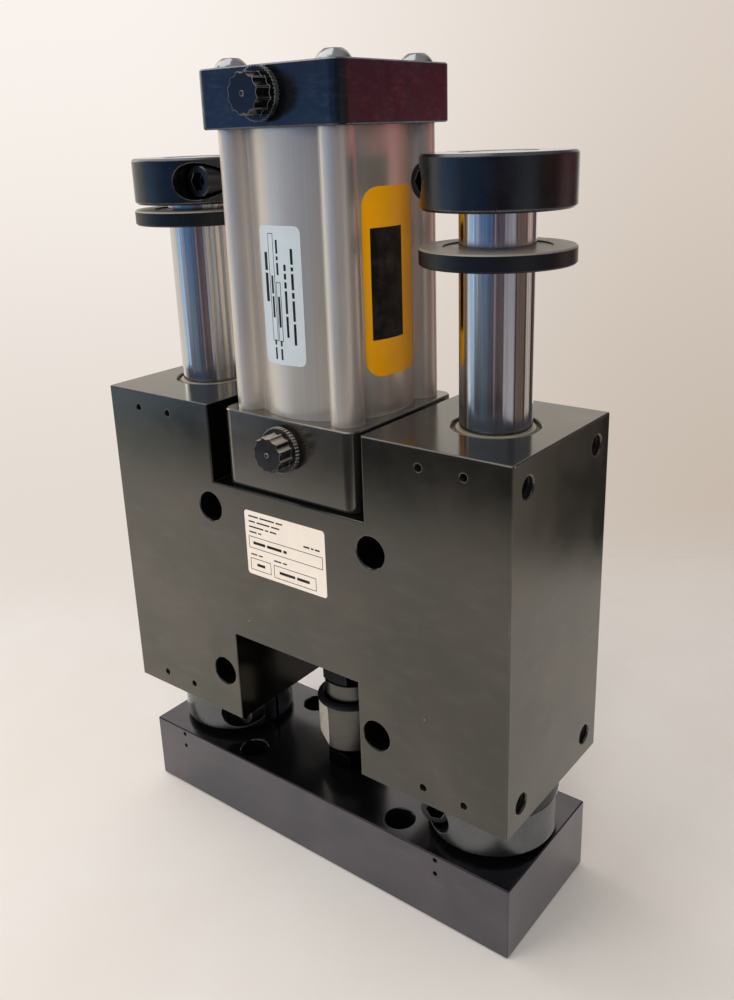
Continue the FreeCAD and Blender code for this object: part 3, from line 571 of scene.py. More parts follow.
@dataclass(frozen=True)
class ExtrudedAluminium(Finish):
    """Aluminium tube, extruded and clear anodised.

    Die lines run up the tube, so highlights spread sideways into soft upright streaks on a pale grey metal.
    """

    # Die lines of about 0.2 mm are drawn at 1.6 mm and finer, so that they show.
    line_size: float = 1.6
    line_length: float = 300.0
    line_span: Pair = (0.25, 0.75)
    line_gloss: float = 0.10
    line_depth: float = 0.006
    cloud_size: float = 32.0
    cloud_gloss: Pair = (-0.05, 0.06)
    speck_spacing: float = 16.0
    speck_size: float = 0.22
    speck_colour: str = "#5b5650"
    dull: float = 0.88
    edge_width: float = 0.5
    metallic: float = 0.8

    def paint(self, surface: Surface) -> None:
        """Gives a new material the look of this finish.

        Args:
            surface: The material.
        """
        lines = surface.noise((self.line_size, self.line_size, self.line_length), detail=6.0, roughness=0.75)
        base = self.toned(surface, surface.span(lines, self.line_span), self.dull)
        specks = surface.dust(self.speck_spacing, self.speck_size)
        gloss = self.gloss(surface, surface.noise(self.cloud_size, detail=4.0), self.cloud_gloss)
        surface.wear({
            "Metallic": self.metallic, "Base Color": surface.mix(specks, base, to_linear(self.speck_colour)),
            "Roughness": surface.math("MULTIPLY_ADD", lines, self.line_gloss, gloss)})
        surface.relief(lines, self.line_depth, strength=0.2, edge=self.edge_width)


@dataclass(frozen=True)
class TurnedMetal(Finish):
    """Metal turned in a lathe, bare or blackened.

    Fine rings about the axis break the highlight, and the oxide or plating is thin at the corners. The pale
    corners also carry a painted highlight, and a painted sheen brightens the colour seen edge-on.
    """

    # Colour of the worn corners; it also carries a painted edge highlight.
    worn_highlit_colour: str = "#c9c6c1"
    ring_size: float = 0.6
    ring_length: float = 30.0
    ring_depth: float = 0.003
    cloud_size: float = 14.0
    cloud_gloss: Pair = (-0.06, 0.08)
    dull: float = 0.72
    edge_width: float = 0.5
    edge_wear_and_highlight: float = 0.5
    metallic: float = 1.0
    # Seen edge-on, the oiled face mirrors like bright metal; the colour is brightened there as a painted sheen.
    glance: Triple = (0.85, 0.97, 8.0)
    glance_gloss: Triple = (0.75, 0.97, 0.4)

    def paint(self, surface: Surface) -> None:
        """Gives a new material the look of this finish.

        Args:
            surface: The material.
        """
        turned = surface.noise((self.ring_length, self.ring_length, self.ring_size), detail=3.0)
        clouds = surface.noise(self.cloud_size, detail=5.0, roughness=0.62)
        base = self.toned(surface, surface.evened(clouds), self.dull)
        edges = surface.worn_and_highlit_edges(self.edge_width, self.edge_wear_and_highlight)
        # Worn corners, with a painted edge highlight.
        marked = surface.mix(edges, base, to_linear(self.worn_highlit_colour))
        gloss = self.gloss(surface, clouds, self.cloud_gloss)
        surface.wear({
            "Metallic": self.metallic,
            # Painted sheen: the colour brightens where the face is seen edge-on.
            "Base Color": surface.mix(1.0, marked, surface.glancing(*self.glance), Blend.MULTIPLY, clamp=True),
            "Roughness": surface.product(gloss, surface.glancing(*self.glance_gloss))})
        surface.relief(turned, self.ring_depth, strength=0.2, edge=self.edge_width)


@dataclass(frozen=True)
class MouldedPolymer(Finish):
    """Urethane, rubber or nylon out of a mould.

    The mould's texture scatters the highlight, and rubbed spots shine a little more.
    """

    grain_size: float = 0.7
    grain_depth: float = 0.01
    cloud_size: float = 12.0
    cloud_gloss: Pair = (-0.05, 0.07)
    dull: float = 0.7
    # Edges go towards this pale colour: wear and a painted rim highlight.
    pale: str = "#6f6c68"
    edge_width: float = 0.5
    edge_wear_and_highlight: float = 0.12
    edge_soft: float = 0.3
    ior: float = 1.5
    # Faces that look up are painted towards a pale colour as a highlight, this much at most.
    top_sheen_share: float = 0.0
    top_sheen_colour: str = "#d8cfbd"

    def paint(self, surface: Surface) -> None:
        """Gives a new material the look of this finish.

        Args:
            surface: The material.
        """
        clouds = surface.noise(self.cloud_size, detail=5.0, roughness=0.65)
        base = self.toned(surface, surface.evened(clouds), self.dull)
        edges = surface.worn_and_highlit_edges(self.edge_width, self.edge_wear_and_highlight)
        colour = surface.mix(edges, base, to_linear(self.pale))
        # Painted highlight on the faces that look up.
        if self.top_sheen_share:
            colour = surface.mix(surface.upward_sheen(self.top_sheen_share), colour, to_linear(self.top_sheen_colour))
        surface.wear({
            "IOR": self.ior, "Base Color": colour, "Roughness": self.gloss(surface, clouds, self.cloud_gloss)})
        grain = surface.noise(self.grain_size, detail=2.0)
        surface.relief(grain, self.grain_depth, strength=0.3, edge=self.edge_soft)


@dataclass(frozen=True)
class PrintedVinyl(Finish):
    """Self-adhesive vinyl, cast, printed and laminated.

    A flat even colour under a soft gloss, a little orange peel from the glue, and greyed by fingers here and there.
    """

    soil: str = "#8d857a"
    ior: float = 1.5
    peel_size: float = 2.6
    peel_depth: float = 0.01
    soil_size: float = 11.0
    soil_span: Pair = (0.45, 0.8)
    soil_most: float = 0.14
    soil_gloss: Pair = (-0.05, 0.10)
    edge_soft: float = 0.1

    def paint(self, surface: Surface) -> None:
        """Gives a new material the look of this finish.

        Args:
            surface: The material.
        """
        soil = surface.noise(self.soil_size, detail=6.0, roughness=0.7)
        greyed = surface.span(soil, self.soil_span, 0.0, self.soil_most)
        surface.wear({
            "IOR": self.ior, "Metallic": 0.0,
            "Base Color": surface.mix(greyed, to_linear(self.colour), to_linear(self.soil)),
            "Roughness": self.gloss(surface, soil, self.soil_gloss)})
        peel = surface.noise(self.peel_size, detail=1.0)
        surface.relief(peel, self.peel_depth, strength=0.15, edge=self.edge_soft)


class Finishes:
    """The finishes of this object."""

    BLOCK = AnodisedAluminium(
        "anodised_aluminium_satin_black", Slot.BLACK_ANODISED, "#575651", 0.14, edge_wear_and_highlight=0.38,
        # The notch, the slot and the bolt holes take painted shade.
        shaded_recesses=((38.0, 66.0, 115.0), (44.5, 193.25, 231.5)),
        shaded_bores=((47.625, 91.25, 7.15), (47.625, 180.25, 7.15)))
    HEAD = AnodisedAluminium("anodised_aluminium_head_black", Slot.BLACK_ANODISED, "#6b6964", 0.14, edge_wear_and_highlight=0.2)
    PLATE = AnodisedAluminium(
        "anodised_aluminium_plate_black", Slot.BLACK_ANODISED, "#5c5b60", 0.16, edge_width=0.15,
        edge_wear_and_highlight=0.06, metallic=0.98)
    END_CAP = AnodisedAluminium(
        "anodised_aluminium_end_cap_black", Slot.BLACK_ANODISED, "#454a50", 0.18, smear_size=9.0, edge_width=0.25,
        edge_wear_and_highlight=0.03, haze=0.09, haze_size=2.0, smear_tone=0.08)
    TAPPED = AnodisedAluminium("anodised_aluminium_tapped", Slot.BLACK_ANODISED, "#2b2a29", 0.45)
    CHROME = GroundChrome("chromed_steel_ground", Slot.HARD_CHROME, "#e4e4e6", 0.12)
    TUBE = ExtrudedAluminium("extruded_aluminium_clear_anodised", Slot.CLEAR_ANODISED, "#e9e0d3", 0.30)
    COLLAR = TurnedMetal("black_oxide_steel_turned", Slot.BLACK_OXIDE, "#55585b", 0.27, edge_width=0.9, edge_wear_and_highlight=0.4)
    # A lighter copy of the collar finish for the lower collars: painted light.
    LIT_LOW_COLLAR = TurnedMetal(
        "black_oxide_steel_turned_lit_copy", Slot.BLACK_OXIDE, "#74777a", 0.27, edge_width=0.9, edge_wear_and_highlight=0.4)
    SCREW = TurnedMetal("black_oxide_steel_cold_headed", Slot.BLACK_OXIDE, "#4c4d4f", 0.33, edge_wear_and_highlight=0.6)
    NUT = TurnedMetal("black_oxide_steel_pressed", Slot.BLACK_OXIDE, "#242528", 0.36, edge_wear_and_highlight=0.12)
    BOLT = TurnedMetal("zinc_plated_steel_cold_headed", Slot.BRIGHT_STEEL, "#96989b", 0.15, edge_wear_and_highlight=0.2)
    COUPLER = TurnedMetal("alloy_steel_turned", Slot.BRIGHT_STEEL, "#6a6864", 0.30, edge_wear_and_highlight=0.3)
    FLAT = TurnedMetal(
        "alloy_steel_milled_flat", Slot.BRIGHT_STEEL, "#e2dacb", 0.5, metallic=0.35, worn_highlit_colour="#8a7a66", cloud_size=4.0)
    PISTON = TurnedMetal("aluminium_turned", Slot.PISTON_ALLOY, "#c8c8c8", 0.3, worn_highlit_colour="#dddddd")
    BRONZE = TurnedMetal("sintered_bronze_turned", Slot.BEARING_BRONZE, "#a9793f", 0.38, worn_highlit_colour="#c79a5c")
    BUMPER = MouldedPolymer("polyurethane_moulded_black", Slot.BUMPER_URETHANE, "#0d1117", 0.36, top_sheen_share=0.4)
    WIPER = MouldedPolymer(
        "polyurethane_moulded_cream", Slot.WIPER_URETHANE, "#b9af97", 0.5, pale="#d9d0bb", cloud_size=6.0)
    PLUG = MouldedPolymer(
        "nylon_moulded_gloss_black", Slot.PLUG_PLASTIC, "#0d0e10", 0.18, pale="#c6c8cb", edge_wear_and_highlight=0.5)
    SHEENED_PLUG = MouldedPolymer(
        "nylon_moulded_gloss_black_top_sheen", Slot.PLUG_PLASTIC, "#17161a", 0.2, pale="#c6c8cb", edge_wear_and_highlight=0.4,
        top_sheen_share=0.5)
    # Dark colour of the painted shade ring round the wiper lips.
    WIPER_SHADE = MouldedPolymer("wiper_rim_painted_shade", Slot.SEAL_RUBBER, "#26241f", 0.5)
    SEAL = MouldedPolymer("nitrile_rubber_moulded", Slot.SEAL_RUBBER, "#131313", 0.45)
    SEALANT = MouldedPolymer("silicone_sealant_smeared", Slot.SEAL_RUBBER, "#8b8781", 0.35, cloud_size=3.0)
    YELLOW = PrintedVinyl("vinyl_printed_yellow", Slot.PLUG_PLASTIC, "#fdb000", 0.34, ior=1.4)
    WHITE = PrintedVinyl("vinyl_printed_white", Slot.PLUG_PLASTIC, "#bac6cd", 0.4)
    CREAM = PrintedVinyl("polyester_printed_cream", Slot.PLUG_PLASTIC, "#ede3d6", 0.42)
    INK = PrintedVinyl("screen_ink_black", Slot.PLUG_PLASTIC, "#151413", 0.45, soil="#8f8a84", ior=1.25)


def dress(finish: Finish, *nodes: str) -> None:
    """Gives a finish to solids of the frame.

    Args:
        finish: The finish.
        nodes: The names of the solids.
    """
    for name in nodes:
        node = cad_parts[name]
        node.data.materials.clear()
        node.data.materials.append(finish.material())
        log.info("%s wears %s", name, finish.name)


class Shell:
    """Points and faces in millimetres that become one piece of the scene."""

    def __init__(self) -> None:
        """Starts an empty shell."""
        self.points: list[Vector] = []
        self.faces: list[tuple[int, ...]] = []

    def sheet(self, rows: Sequence[Sequence[Vector]], closed: bool = False) -> None:
        """Adds quads between rows of points.

        Args:
            rows: Rows of the same number of points.
            closed: Whether each row's last point joins its first.
        """
        start, width = len(self.points), len(rows[0])
        for row in rows:
            self.points.extend(row)
        for line in range(len(rows) - 1):
            for step in range(width if closed else width - 1):
                a, b = start + line * width + step, start + line * width + (step + 1) % width
                self.faces.append((a, b, b + width, a + width))

    def ring(self, profile: Sequence[Pair], centre: float = 0.0, steps: int = 72) -> None:
        """Adds a profile turned about an upright axis.

        Args:
            profile: Radius and level of each point.
            centre: Where the axis stands along X.
            steps: The number of steps round the axis.
        """
        turns = [math.tau * step / steps for step in range(steps + 1)]
        self.sheet([[Vector((centre + r * math.cos(turn), r * math.sin(turn), z)) for r, z in profile]
                    for turn in turns])

    def piece(self, name: str, finish: Finish, body: Body) -> None:
        """Makes the piece and lets it ride on a body.

        Args:
            name: The piece's name.
            finish: The finish that it wears.
            body: The body that it rides on.
        """
        mesh = bpy.data.meshes.new(name)
        mesh.from_pydata([point * MM for point in self.points], [], self.faces)
        mesh.polygons.foreach_set("use_smooth", [True] * len(mesh.polygons))
        mesh.materials.append(finish.material())
        mesh.validate()
        made = bpy.data.objects.new(name, mesh)
        bpy.context.scene.collection.objects.link(made)
        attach(made, body.value)
        log.info("%s rides on %s", name, body.value)


@dataclass(frozen=True)
class TappedHole:
    """The size of a tapped hole, with the ridge of its thread, in millimetres."""

    diameter: float
    pitch: float
    depth: float
    steps: int = 28
    clearance: float = 0.02
    ridge_share: float = 0.5
    # Half the ridge's width at its root and at its crest, as shares of the pitch.
    root_half: float = 0.46
    crest_half: float = 0.06

    def ridge(self, mouth: Vector, way: Vector) -> list[list[Vector]]:
        """The thread as rows of root, crest and root.

        Args:
            mouth: The middle of the hole's mouth.
            way: The way into the hole.

        Returns:
            One row for each step of the helix.
        """
        side = way.orthogonal().normalized()
        other = way.cross(side)
        root = self.diameter / 2 - self.clearance
        crest = root - self.ridge_share * self.pitch
        profile = (
            (root, -self.root_half), (crest, -self.crest_half), (crest, self.crest_half), (root, self.root_half))
        rows = []
        for step in range(int(self.depth / self.pitch * self.steps)):
            angle = math.tau * step / self.steps
            out = side * math.cos(angle) + other * math.sin(angle)
            deep = self.pitch * (1.0 + step / self.steps)
            rows.append([mouth + way * (deep + shift * self.pitch) + out * radius for radius, shift in profile])
        return rows


def threads(name: str, hole: TappedHole, places: Sequence[tuple[Vector, Vector]], body: Body) -> None:
    """Cuts the threads of a set of like holes as one piece.

    Args:
        name: The piece's name.
        hole: Their size.
        places: The middle of each hole's mouth, and the way into it.
        body: The body that holds them.
    """
    shell = Shell()
    for mouth, way in places:
        shell.sheet(hole.ridge(mouth, way))
    shell.piece(name, Finishes.TAPPED, body)


@dataclass(frozen=True)
class Label:
    """A stuck-on label with round corners and printed rules, flat or wrapped, in millimetres."""

    name: str
    width: float
    height: float
    corner: float
    finish: Finish
    place: Callable[[float, float, float], Vector]
    prints: tuple[Box, ...] = ()
    thickness: float = 0.16
    lift: float = 0.02
    arc_steps: int = 7
    column: float = 1.5

    def rows(self, rise: float) -> list[list[Vector]]:
        """The label's face as rows across it from the bottom up.

        Args:
            rise: The height of the rows over the face that carries the label.

        Returns:
            The rows of points.
        """
        count = max(2, round(self.width / self.column))
        lines = []
        for step in range(self.arc_steps + 1):
            angle = 0.5 * math.pi * (1 - step / self.arc_steps)
            inset = self.corner * (1 - math.cos(angle))
            level = self.corner * (1 - math.sin(angle))
            lines.append((level - self.height / 2, self.width / 2 - inset))
        lines += [(-level, half) for level, half in reversed(lines)]
        return [[self.place(half * (2 * step / count - 1), level, rise) for step in range(count + 1)]
                for level, half in lines]

    def build(self) -> None:
        """Makes the label and its printing."""
        shell = Shell()
        top, foot = self.rows(self.thickness), self.rows(self.lift)
        shell.sheet(top)

        def rim(rows: list[list[Vector]]) -> list[Vector]:
            """The outline of the label's rows.

            Args:
                rows: The rows of points.

            Returns:
                The points round the edge.
            """
            right = [row[-1] for row in rows]
            left = [row[0] for row in reversed(rows)]
            return rows[0][:-1] + right + rows[-1][-2:0:-1] + left

        shell.sheet([rim(foot), rim(top)], closed=True)
        shell.piece(self.name, self.finish, Body.SLIDE)
        if self.prints:
            ink = Shell()
            for left, low, right, high in self.prints:
                count = max(1, round((right - left) / self.column))
                across = [left + (right - left) * step / count for step in range(count + 1)]
                ink.sheet([[self.place(x, y, self.thickness + self.lift) for x in across] for y in (low, high)])
            ink.piece(f"{self.name}_print", Finishes.INK, Body.SLIDE)


def ruled_box(box: Box, line: float) -> list[Box]:
    """The four printed rules of a box.

    Args:
        box: Its outer edges.
        line: Width of a rule.

    Returns:
        The rules.
    """
    left, low, right, high = box
    return [(left, low, right, low + line), (left, high - line, right, high),
            (left, low, left + line, high), (right - line, low, right, high)]


def filler_lines(left: float, base: float, lengths: Sequence[float], high: float, gap: float) -> list[Box]:
    """A line of plain printed bars.

    Args:
        left: Where the line starts.
        base: Its lower edge.
        lengths: The length of each bar.
        high: The height of the bars.
        gap: The space between bars.

    Returns:
        The bars.
    """
    bars, start = [], left
    for length in lengths:
        bars.append((start, base, start + length, base + high))
        start += length + gap
    return bars


@dataclass(frozen=True)
class Housing:
    """The block that slides on the shafts, with its wipers, bushings, tapped holes and rating plate."""

    half_width: float = 114.0
    front: float = -41.25
    low: float = 66.75
    top: float = 230.75
    shaft_x: float = 82.75
    end_hole: TappedHole = TappedHole(9.0, 1.5875, 15.0)
    end_hole_y: float = 29.5
    end_hole_edge: float = 11.7
    switch_hole: TappedHole = TappedHole(3.6, 0.7, 8.0)
    switch_hole_span: float = 20.7
    switch_hole_edge: float = 8.3
    wiper_depth: float = 0.6
    wiper_reach: float = 16.95
    # A thin dark ring on the outer edge of each wiper lip: painted shade.
    rim_shade_width: float = 0.6
    rim_shade_foot: float = 0.01
    rim_shade_rise: float = 0.07
    rim_shade_bevel: float = 0.1
    plate_centre: Pair = (-1.0, 168.0)
    plate_size: Pair = (48.0, 32.0)
    plate_corner: float = 1.6
    plate_rule: float = 0.32
    plate_boxes: tuple[Box, ...] = (
        (-22.2, -2.6, 22.4, 3.4), (-22.0, -13.6, -9.2, -7.6), (-7.4, -14.2, 18.0, -7.8))
    # Left end, base, lengths, height and gap of each line of bars.
    plate_bars: tuple[tuple[float, float, tuple[float, ...], float, float], ...] = (
        (-21.5, 13.0, (6.0, 9.0, 4.0), 0.75, 1.0), (-21.5, 10.4, (4.0, 8.0, 5.0), 0.75, 1.0),
        (-21.5, 7.8, (9.0, 2.0, 4.0), 0.75, 1.0), (-21.5, 5.2, (4.5, 2.0), 0.75, 1.0),
        (-21.5, -6.0, (4.0, 2.5), 0.7, 0.9), (-7.0, -6.0, (4.5, 2.5), 0.7, 0.9),
        (-19.5, -0.4, (7.5, 9.0, 2.0), 1.4, 1.1), (-18.0, -11.3, (5.0,), 1.4, 1.0),
        (-4.0, -11.7, (9.5, 7.5), 1.4, 1.1), (11.5, 5.6, (3.6, 1.5, 2.8), 0.8, 0.8))

    def dress(self) -> None:
        """Gives the block and its inner pieces their finishes."""
        dress(Finishes.BLOCK, "housing")
        ends = [f"{side}_{level}" for side in ("left", "right") for level in ("upper", "lower")]
        dress(Finishes.WIPER, *(f"{end}_wiper" for end in ends))
        dress(Finishes.BRONZE, *(f"{end}_bushing" for end in ends))
        dress(Finishes.SCREW, "head_screws")

    def shade_wiper_rims(self) -> None:
        """Lays a thin dark ring of painted shade round the lip of each upper wiper."""
        shell = Shell()
        level, outer = self.top - self.wiper_depth, self.wiper_reach
        inner = outer - self.rim_shade_width
        foot, crown = level + self.rim_shade_foot, level + self.rim_shade_rise
        profile = (
            (inner, foot), (inner + self.rim_shade_bevel, crown), (outer - self.rim_shade_bevel, crown), (outer, foot))
        for side in (-1, 1):
            shell.ring(profile, side * self.shaft_x)
        shell.piece("wiper_rim_shade_rings", Finishes.WIPER_SHADE, Body.SLIDE)

    def tap(self) -> None:
        """Cuts the threads of the end holes and the switch holes."""
        ends, switches = [], []
        for side in (-1, 1):
            for z in (self.low + self.end_hole_edge, self.top - self.end_hole_edge):
                for y in (-self.end_hole_y, self.end_hole_y):
                    ends.append((Vector((side * self.half_width, y, z)), Vector((-side, 0, 0))))
            for z in (self.low + self.switch_hole_edge, self.top - self.switch_hole_edge):
                for step in (-0.5, 0.5):
                    x = side * self.shaft_x + step * self.switch_hole_span
                    switches.append((Vector((x, self.front, z)), Vector((0, 1, 0))))
        threads("end_hole_threads", self.end_hole, ends, Body.SLIDE)
        threads("switch_hole_threads", self.switch_hole, switches, Body.SLIDE)

    def label(self) -> None:
        """Sticks the bare rating plate on the front."""
        middle_x, middle_z = self.plate_centre
        width, height = self.plate_size

        def place(across: float, up: float, rise: float) -> Vector:
            """A point of the plate on the front face."""
            return Vector((middle_x + across, self.front - rise, middle_z + up))

        prints = []
        for box in self.plate_boxes:
            prints += ruled_box(box, self.plate_rule)
        for line in self.plate_bars:
            prints += filler_lines(*line)
        Label("rating_plate", width, height, self.plate_corner, Finishes.CREAM, place, tuple(prints)).build()


@dataclass(frozen=True)
class AirCylinder:
    """The cylinder on the block: head, barrel, cap, bolts, plugs, labels and what runs inside."""

    barrel_radius: float = 34.5
    barrel_low: float = 229.55
    boss_radius: float = 7.4
    boss_reach: float = 38.47
    bead_radius: float = 0.17
    bead_seed: int = 11
    bead_steps: int = 90
    bead_corners: int = 6
    # The bead stops this many degrees short of a boss, thins out over this share of its length, and is uneven.
    bead_clear: float = 4.0
    bead_taper: float = 0.125
    bead_least: float = 0.35
    bead_thinnest: float = 0.02
    bead_seat: float = 0.6
    label_rule: float = 0.3
    label_gap: float = 1.1
    label_boxes: tuple[Box, ...] = ((-5.4, -19.0, -2.2, 26.0), (-1.7, -19.0, 0.9, 6.0))
    # Left edge, start, lengths and width of each line of bars; the lines run up the label.
    label_bars: tuple[tuple[float, float, tuple[float, ...], float], ...] = (
        (-8.4, -2.5, (12.0, 7.5), 2.0), (-4.4, -9.0, (9.0, 7.5), 1.2), (-1.0, -13.0, (13.0,), 1.2),
        (-4.4, -27.0, (5.2, 2.2), 1.1), (-1.0, -27.0, (4.8, 2.2), 1.1), (-0.9, 9.0, (5.0, 1.6, 5.6), 1.1),
        (3.0, -17.0, (9.0, 9.5, 2.6, 2.4, 2.6), 1.2), (6.6, -20.0, (9.0, 8.5, 2.4, 6.6, 1.6, 6.4), 1.2))
    yellow_block: tuple[Box, ...] = ((-14.4, -23.3, 3.6, 22.9),)

    def dress(self) -> None:
        """Gives the cylinder's solids their finishes."""
        dress(Finishes.HEAD, "cylinder_head")
        dress(Finishes.END_CAP, "cylinder_cap")
        dress(Finishes.TUBE, "cylinder_barrel")
        dress(Finishes.BOLT, "tie_bolts")
        dress(Finishes.PLUG, "cap_port_plug")
        dress(Finishes.SHEENED_PLUG, "head_port_plug")
        dress(Finishes.SEAL, "barrel_o_rings", "rod_seal", "piston_seals")
        dress(Finishes.WIPER, "rod_wiper", "piston_wear_band")
        dress(Finishes.BRONZE, "rod_bushing")
        dress(Finishes.PISTON, "piston")
        dress(Finishes.BOLT, "piston_nut")
        dress(Finishes.CHROME, "piston_rod")

    def around(self, angle: float, level: float) -> Callable[[float, float, float], Vector]:
        """Where the points of a label lie that is wrapped on the barrel.

        Args:
            angle: The direction of the label's middle in degrees, from +X towards +Y.
            level: The height of its middle.

        Returns:
            A function of the distance across, up and out.
        """
        def place(across: float, up: float, rise: float) -> Vector:
            """A point of the label on the tube.

            Args:
                across: Its distance from the label's middle, round the tube.
                up: Its distance from the middle, up the tube.
                rise: Its height over the tube.

            Returns:
                The point.
            """
            turn = math.radians(angle) + across / self.barrel_radius
            reach = self.barrel_radius + rise
            return Vector((reach * math.cos(turn), reach * math.sin(turn), level + up))
        return place

    def label(self) -> None:
        """Sticks the bare white label and the bare yellow label on the barrel."""
        prints = []
        for box in self.label_boxes:
            prints += ruled_box(box, self.label_rule)
        for left, base, lengths, high in self.label_bars:
            lying = filler_lines(base, left, lengths, high, self.label_gap)
            prints += [(low, start, top, stop) for start, low, stop, top in lying]
        Label(
            "white_label", width=23.4, height=58.2, corner=3.0, finish=Finishes.WHITE,
            place=self.around(angle=-91.5, level=282.2), prints=tuple(prints)).build()
        Label(
            "yellow_label", width=36.0, height=78.3, corner=8.0, finish=Finishes.YELLOW,
            place=self.around(angle=0.0, level=286.3), prints=self.yellow_block).build()

    def bead(self) -> None:
        """Runs the uneven bead of sealant round the foot of the barrel, between the bosses."""
        rng = random.Random(self.bead_seed)
        shell = Shell()
        free = 45.0 - math.degrees(math.asin(self.boss_radius / self.boss_reach)) - self.bead_clear
        steps = self.bead_steps
        for quarter in range(4):
            rows = []
            for step in range(steps + 1):
                turn = math.radians(90 * quarter - free + 2 * free * step / steps)
                ends = min(1.0, min(step, steps - step) / steps / self.bead_taper)
                size = self.bead_radius * ends * rng.uniform(self.bead_least, 1.0) + self.bead_thinnest
                row = []
                for corner in range(self.bead_corners):
                    slope = math.tau * corner / self.bead_corners
                    reach = self.barrel_radius + size * (self.bead_seat + math.cos(slope))
                    level = self.barrel_low + size * (self.bead_seat + math.sin(slope))
                    row.append(Vector((reach * math.cos(turn), reach * math.sin(turn), level)))
                rows.append(row)
            shell.sheet(rows, closed=True)
        shell.piece("barrel_foot_sealant", Finishes.SEALANT, Body.SLIDE)


@dataclass(frozen=True)
class Guides:
    """The shafts with their clamp collars, clamp screws and bumper discs."""

    sides: tuple[str, ...] = ("left", "right")
    levels: tuple[str, ...] = ("lower", "upper")

    def dress(self) -> None:
        """Gives the guide pieces their finishes."""
        dress(Finishes.CHROME, *(f"{side}_guide_shaft" for side in self.sides))
        for level, finish in zip(self.levels, (Finishes.LIT_LOW_COLLAR, Finishes.COLLAR)):
            dress(finish, *(f"{side}_{level}_collar" for side in self.sides))
            dress(Finishes.BUMPER, *(f"{side}_{level}_bumper" for side in self.sides))
        dress(Finishes.SCREW, "collar_screws", "shaft_screws")


@dataclass(frozen=True)
class Carriage:
    """The tool plate with its target holes, and the coupler that joins it to the rod."""

    front: float = -36.25
    top: float = 36.5
    shaft_x: float = 82.75
    target_offset: float = -8.0
    target_drops: Pair = (2.7, 10.0)
    target_hole: TappedHole = TappedHole(2.4, 0.5, 6.0)
    coupler_top: float = 76.5
    coupler_radius: float = 17.25
    # Radius of the seal ring's points, and their level over the coupler's top.
    seal_profile: tuple[Pair, ...] = (
        (13.4, 0.02), (13.4, 0.22), (15.6, 0.24), (16.9, -0.9), (17.37, -1.5), (17.37, -2.1), (17.27, -2.2))
    flat_reach: float = 15.3
    flat_turn: float = 58.0
    # The faces stop short of the flat's ends, lie under the coupler's top between two depths and have round ends.
    flat_margin: float = 0.25
    flat_depths: Pair = (2.4, 25.0)
    flat_round: float = 1.2
    flat_round_power: int = 8
    flat_rows: int = 12
    flat_half_columns: int = 4
    # Rise over the flat and inset of the two layers that make a face.
    flat_layers: tuple[Pair, ...] = ((0.05, 0.3), (0.02, 0.0))

    def dress(self) -> None:
        """Gives the plate and the coupler their finishes."""
        dress(Finishes.PLATE, "tool_plate")
        dress(Finishes.COUPLER, "rod_coupler", "coupler_ring", "coupler_stud")
        dress(Finishes.NUT, "coupler_jam_nut", "rod_jam_nut")

    def seal_coupler(self) -> None:
        """Caps the coupler's upper edge with its black seal ring."""
        shell = Shell()
        shell.ring([(radius, self.coupler_top + rise) for radius, rise in self.seal_profile])
        shell.piece("coupler_seal_ring", Finishes.SEAL, Body.CARRIAGE)

    def face_flats(self) -> None:
        """Lays the bright milled faces on the coupler's two wrench flats."""
        half = math.sqrt(self.coupler_radius ** 2 - self.flat_reach ** 2) - self.flat_margin
        high, low = (self.coupler_top - depth for depth in self.flat_depths)
        count, columns = self.flat_rows, self.flat_half_columns
        shell = Shell()
        for turn in (math.radians(self.flat_turn), math.radians(self.flat_turn + 180)):
            out = Vector((math.cos(turn), math.sin(turn), 0))
            along = Vector((-out.y, out.x, 0))
            for rise, inset in self.flat_layers:
                rows = []
                for step in range(count + 1):
                    level = low + inset + (high - low - 2 * inset) * step / count
                    ends = half - inset - self.flat_round * (2 * step / count - 1) ** self.flat_round_power
                    middle = out * (self.flat_reach + rise) + Vector((0, 0, level))
                    rows.append([middle + along * (ends * side / columns) for side in range(-columns, columns + 1)])
                shell.sheet(rows)
        shell.piece("coupler_flat_faces", Finishes.FLAT, Body.CARRIAGE)

    def tap(self) -> None:
        """Cuts the threads of the target holes in the plate's front."""
        places = []
        for side in (-1, 1):
            for drop in self.target_drops:
                mouth = Vector((side * self.shaft_x + self.target_offset, self.front, self.top - drop))
                places.append((mouth, Vector((0, 1, 0))))
        threads("target_hole_threads", self.target_hole, places, Body.CARRIAGE)


@dataclass(frozen=True)
class Panel:
    """An upright part of the room, as reflections and light see it, in degrees."""

    azimuth: float
    half_width: float
    soft: float
    low: float
    high: float
    colour: str
    strength: float = 1.0


@dataclass(frozen=True)
class Lamp:
    """A soft box, in metres."""

    name: str
    place: Triple
    size: Pair
    power: float
    colour: str
    mirrored: bool = True


@dataclass(frozen=True)
class TableEdge:
    """A side of the table: its direction, and how far out the table starts to fade and ends, in metres."""

    way: Pair
    full: float
    gone: float


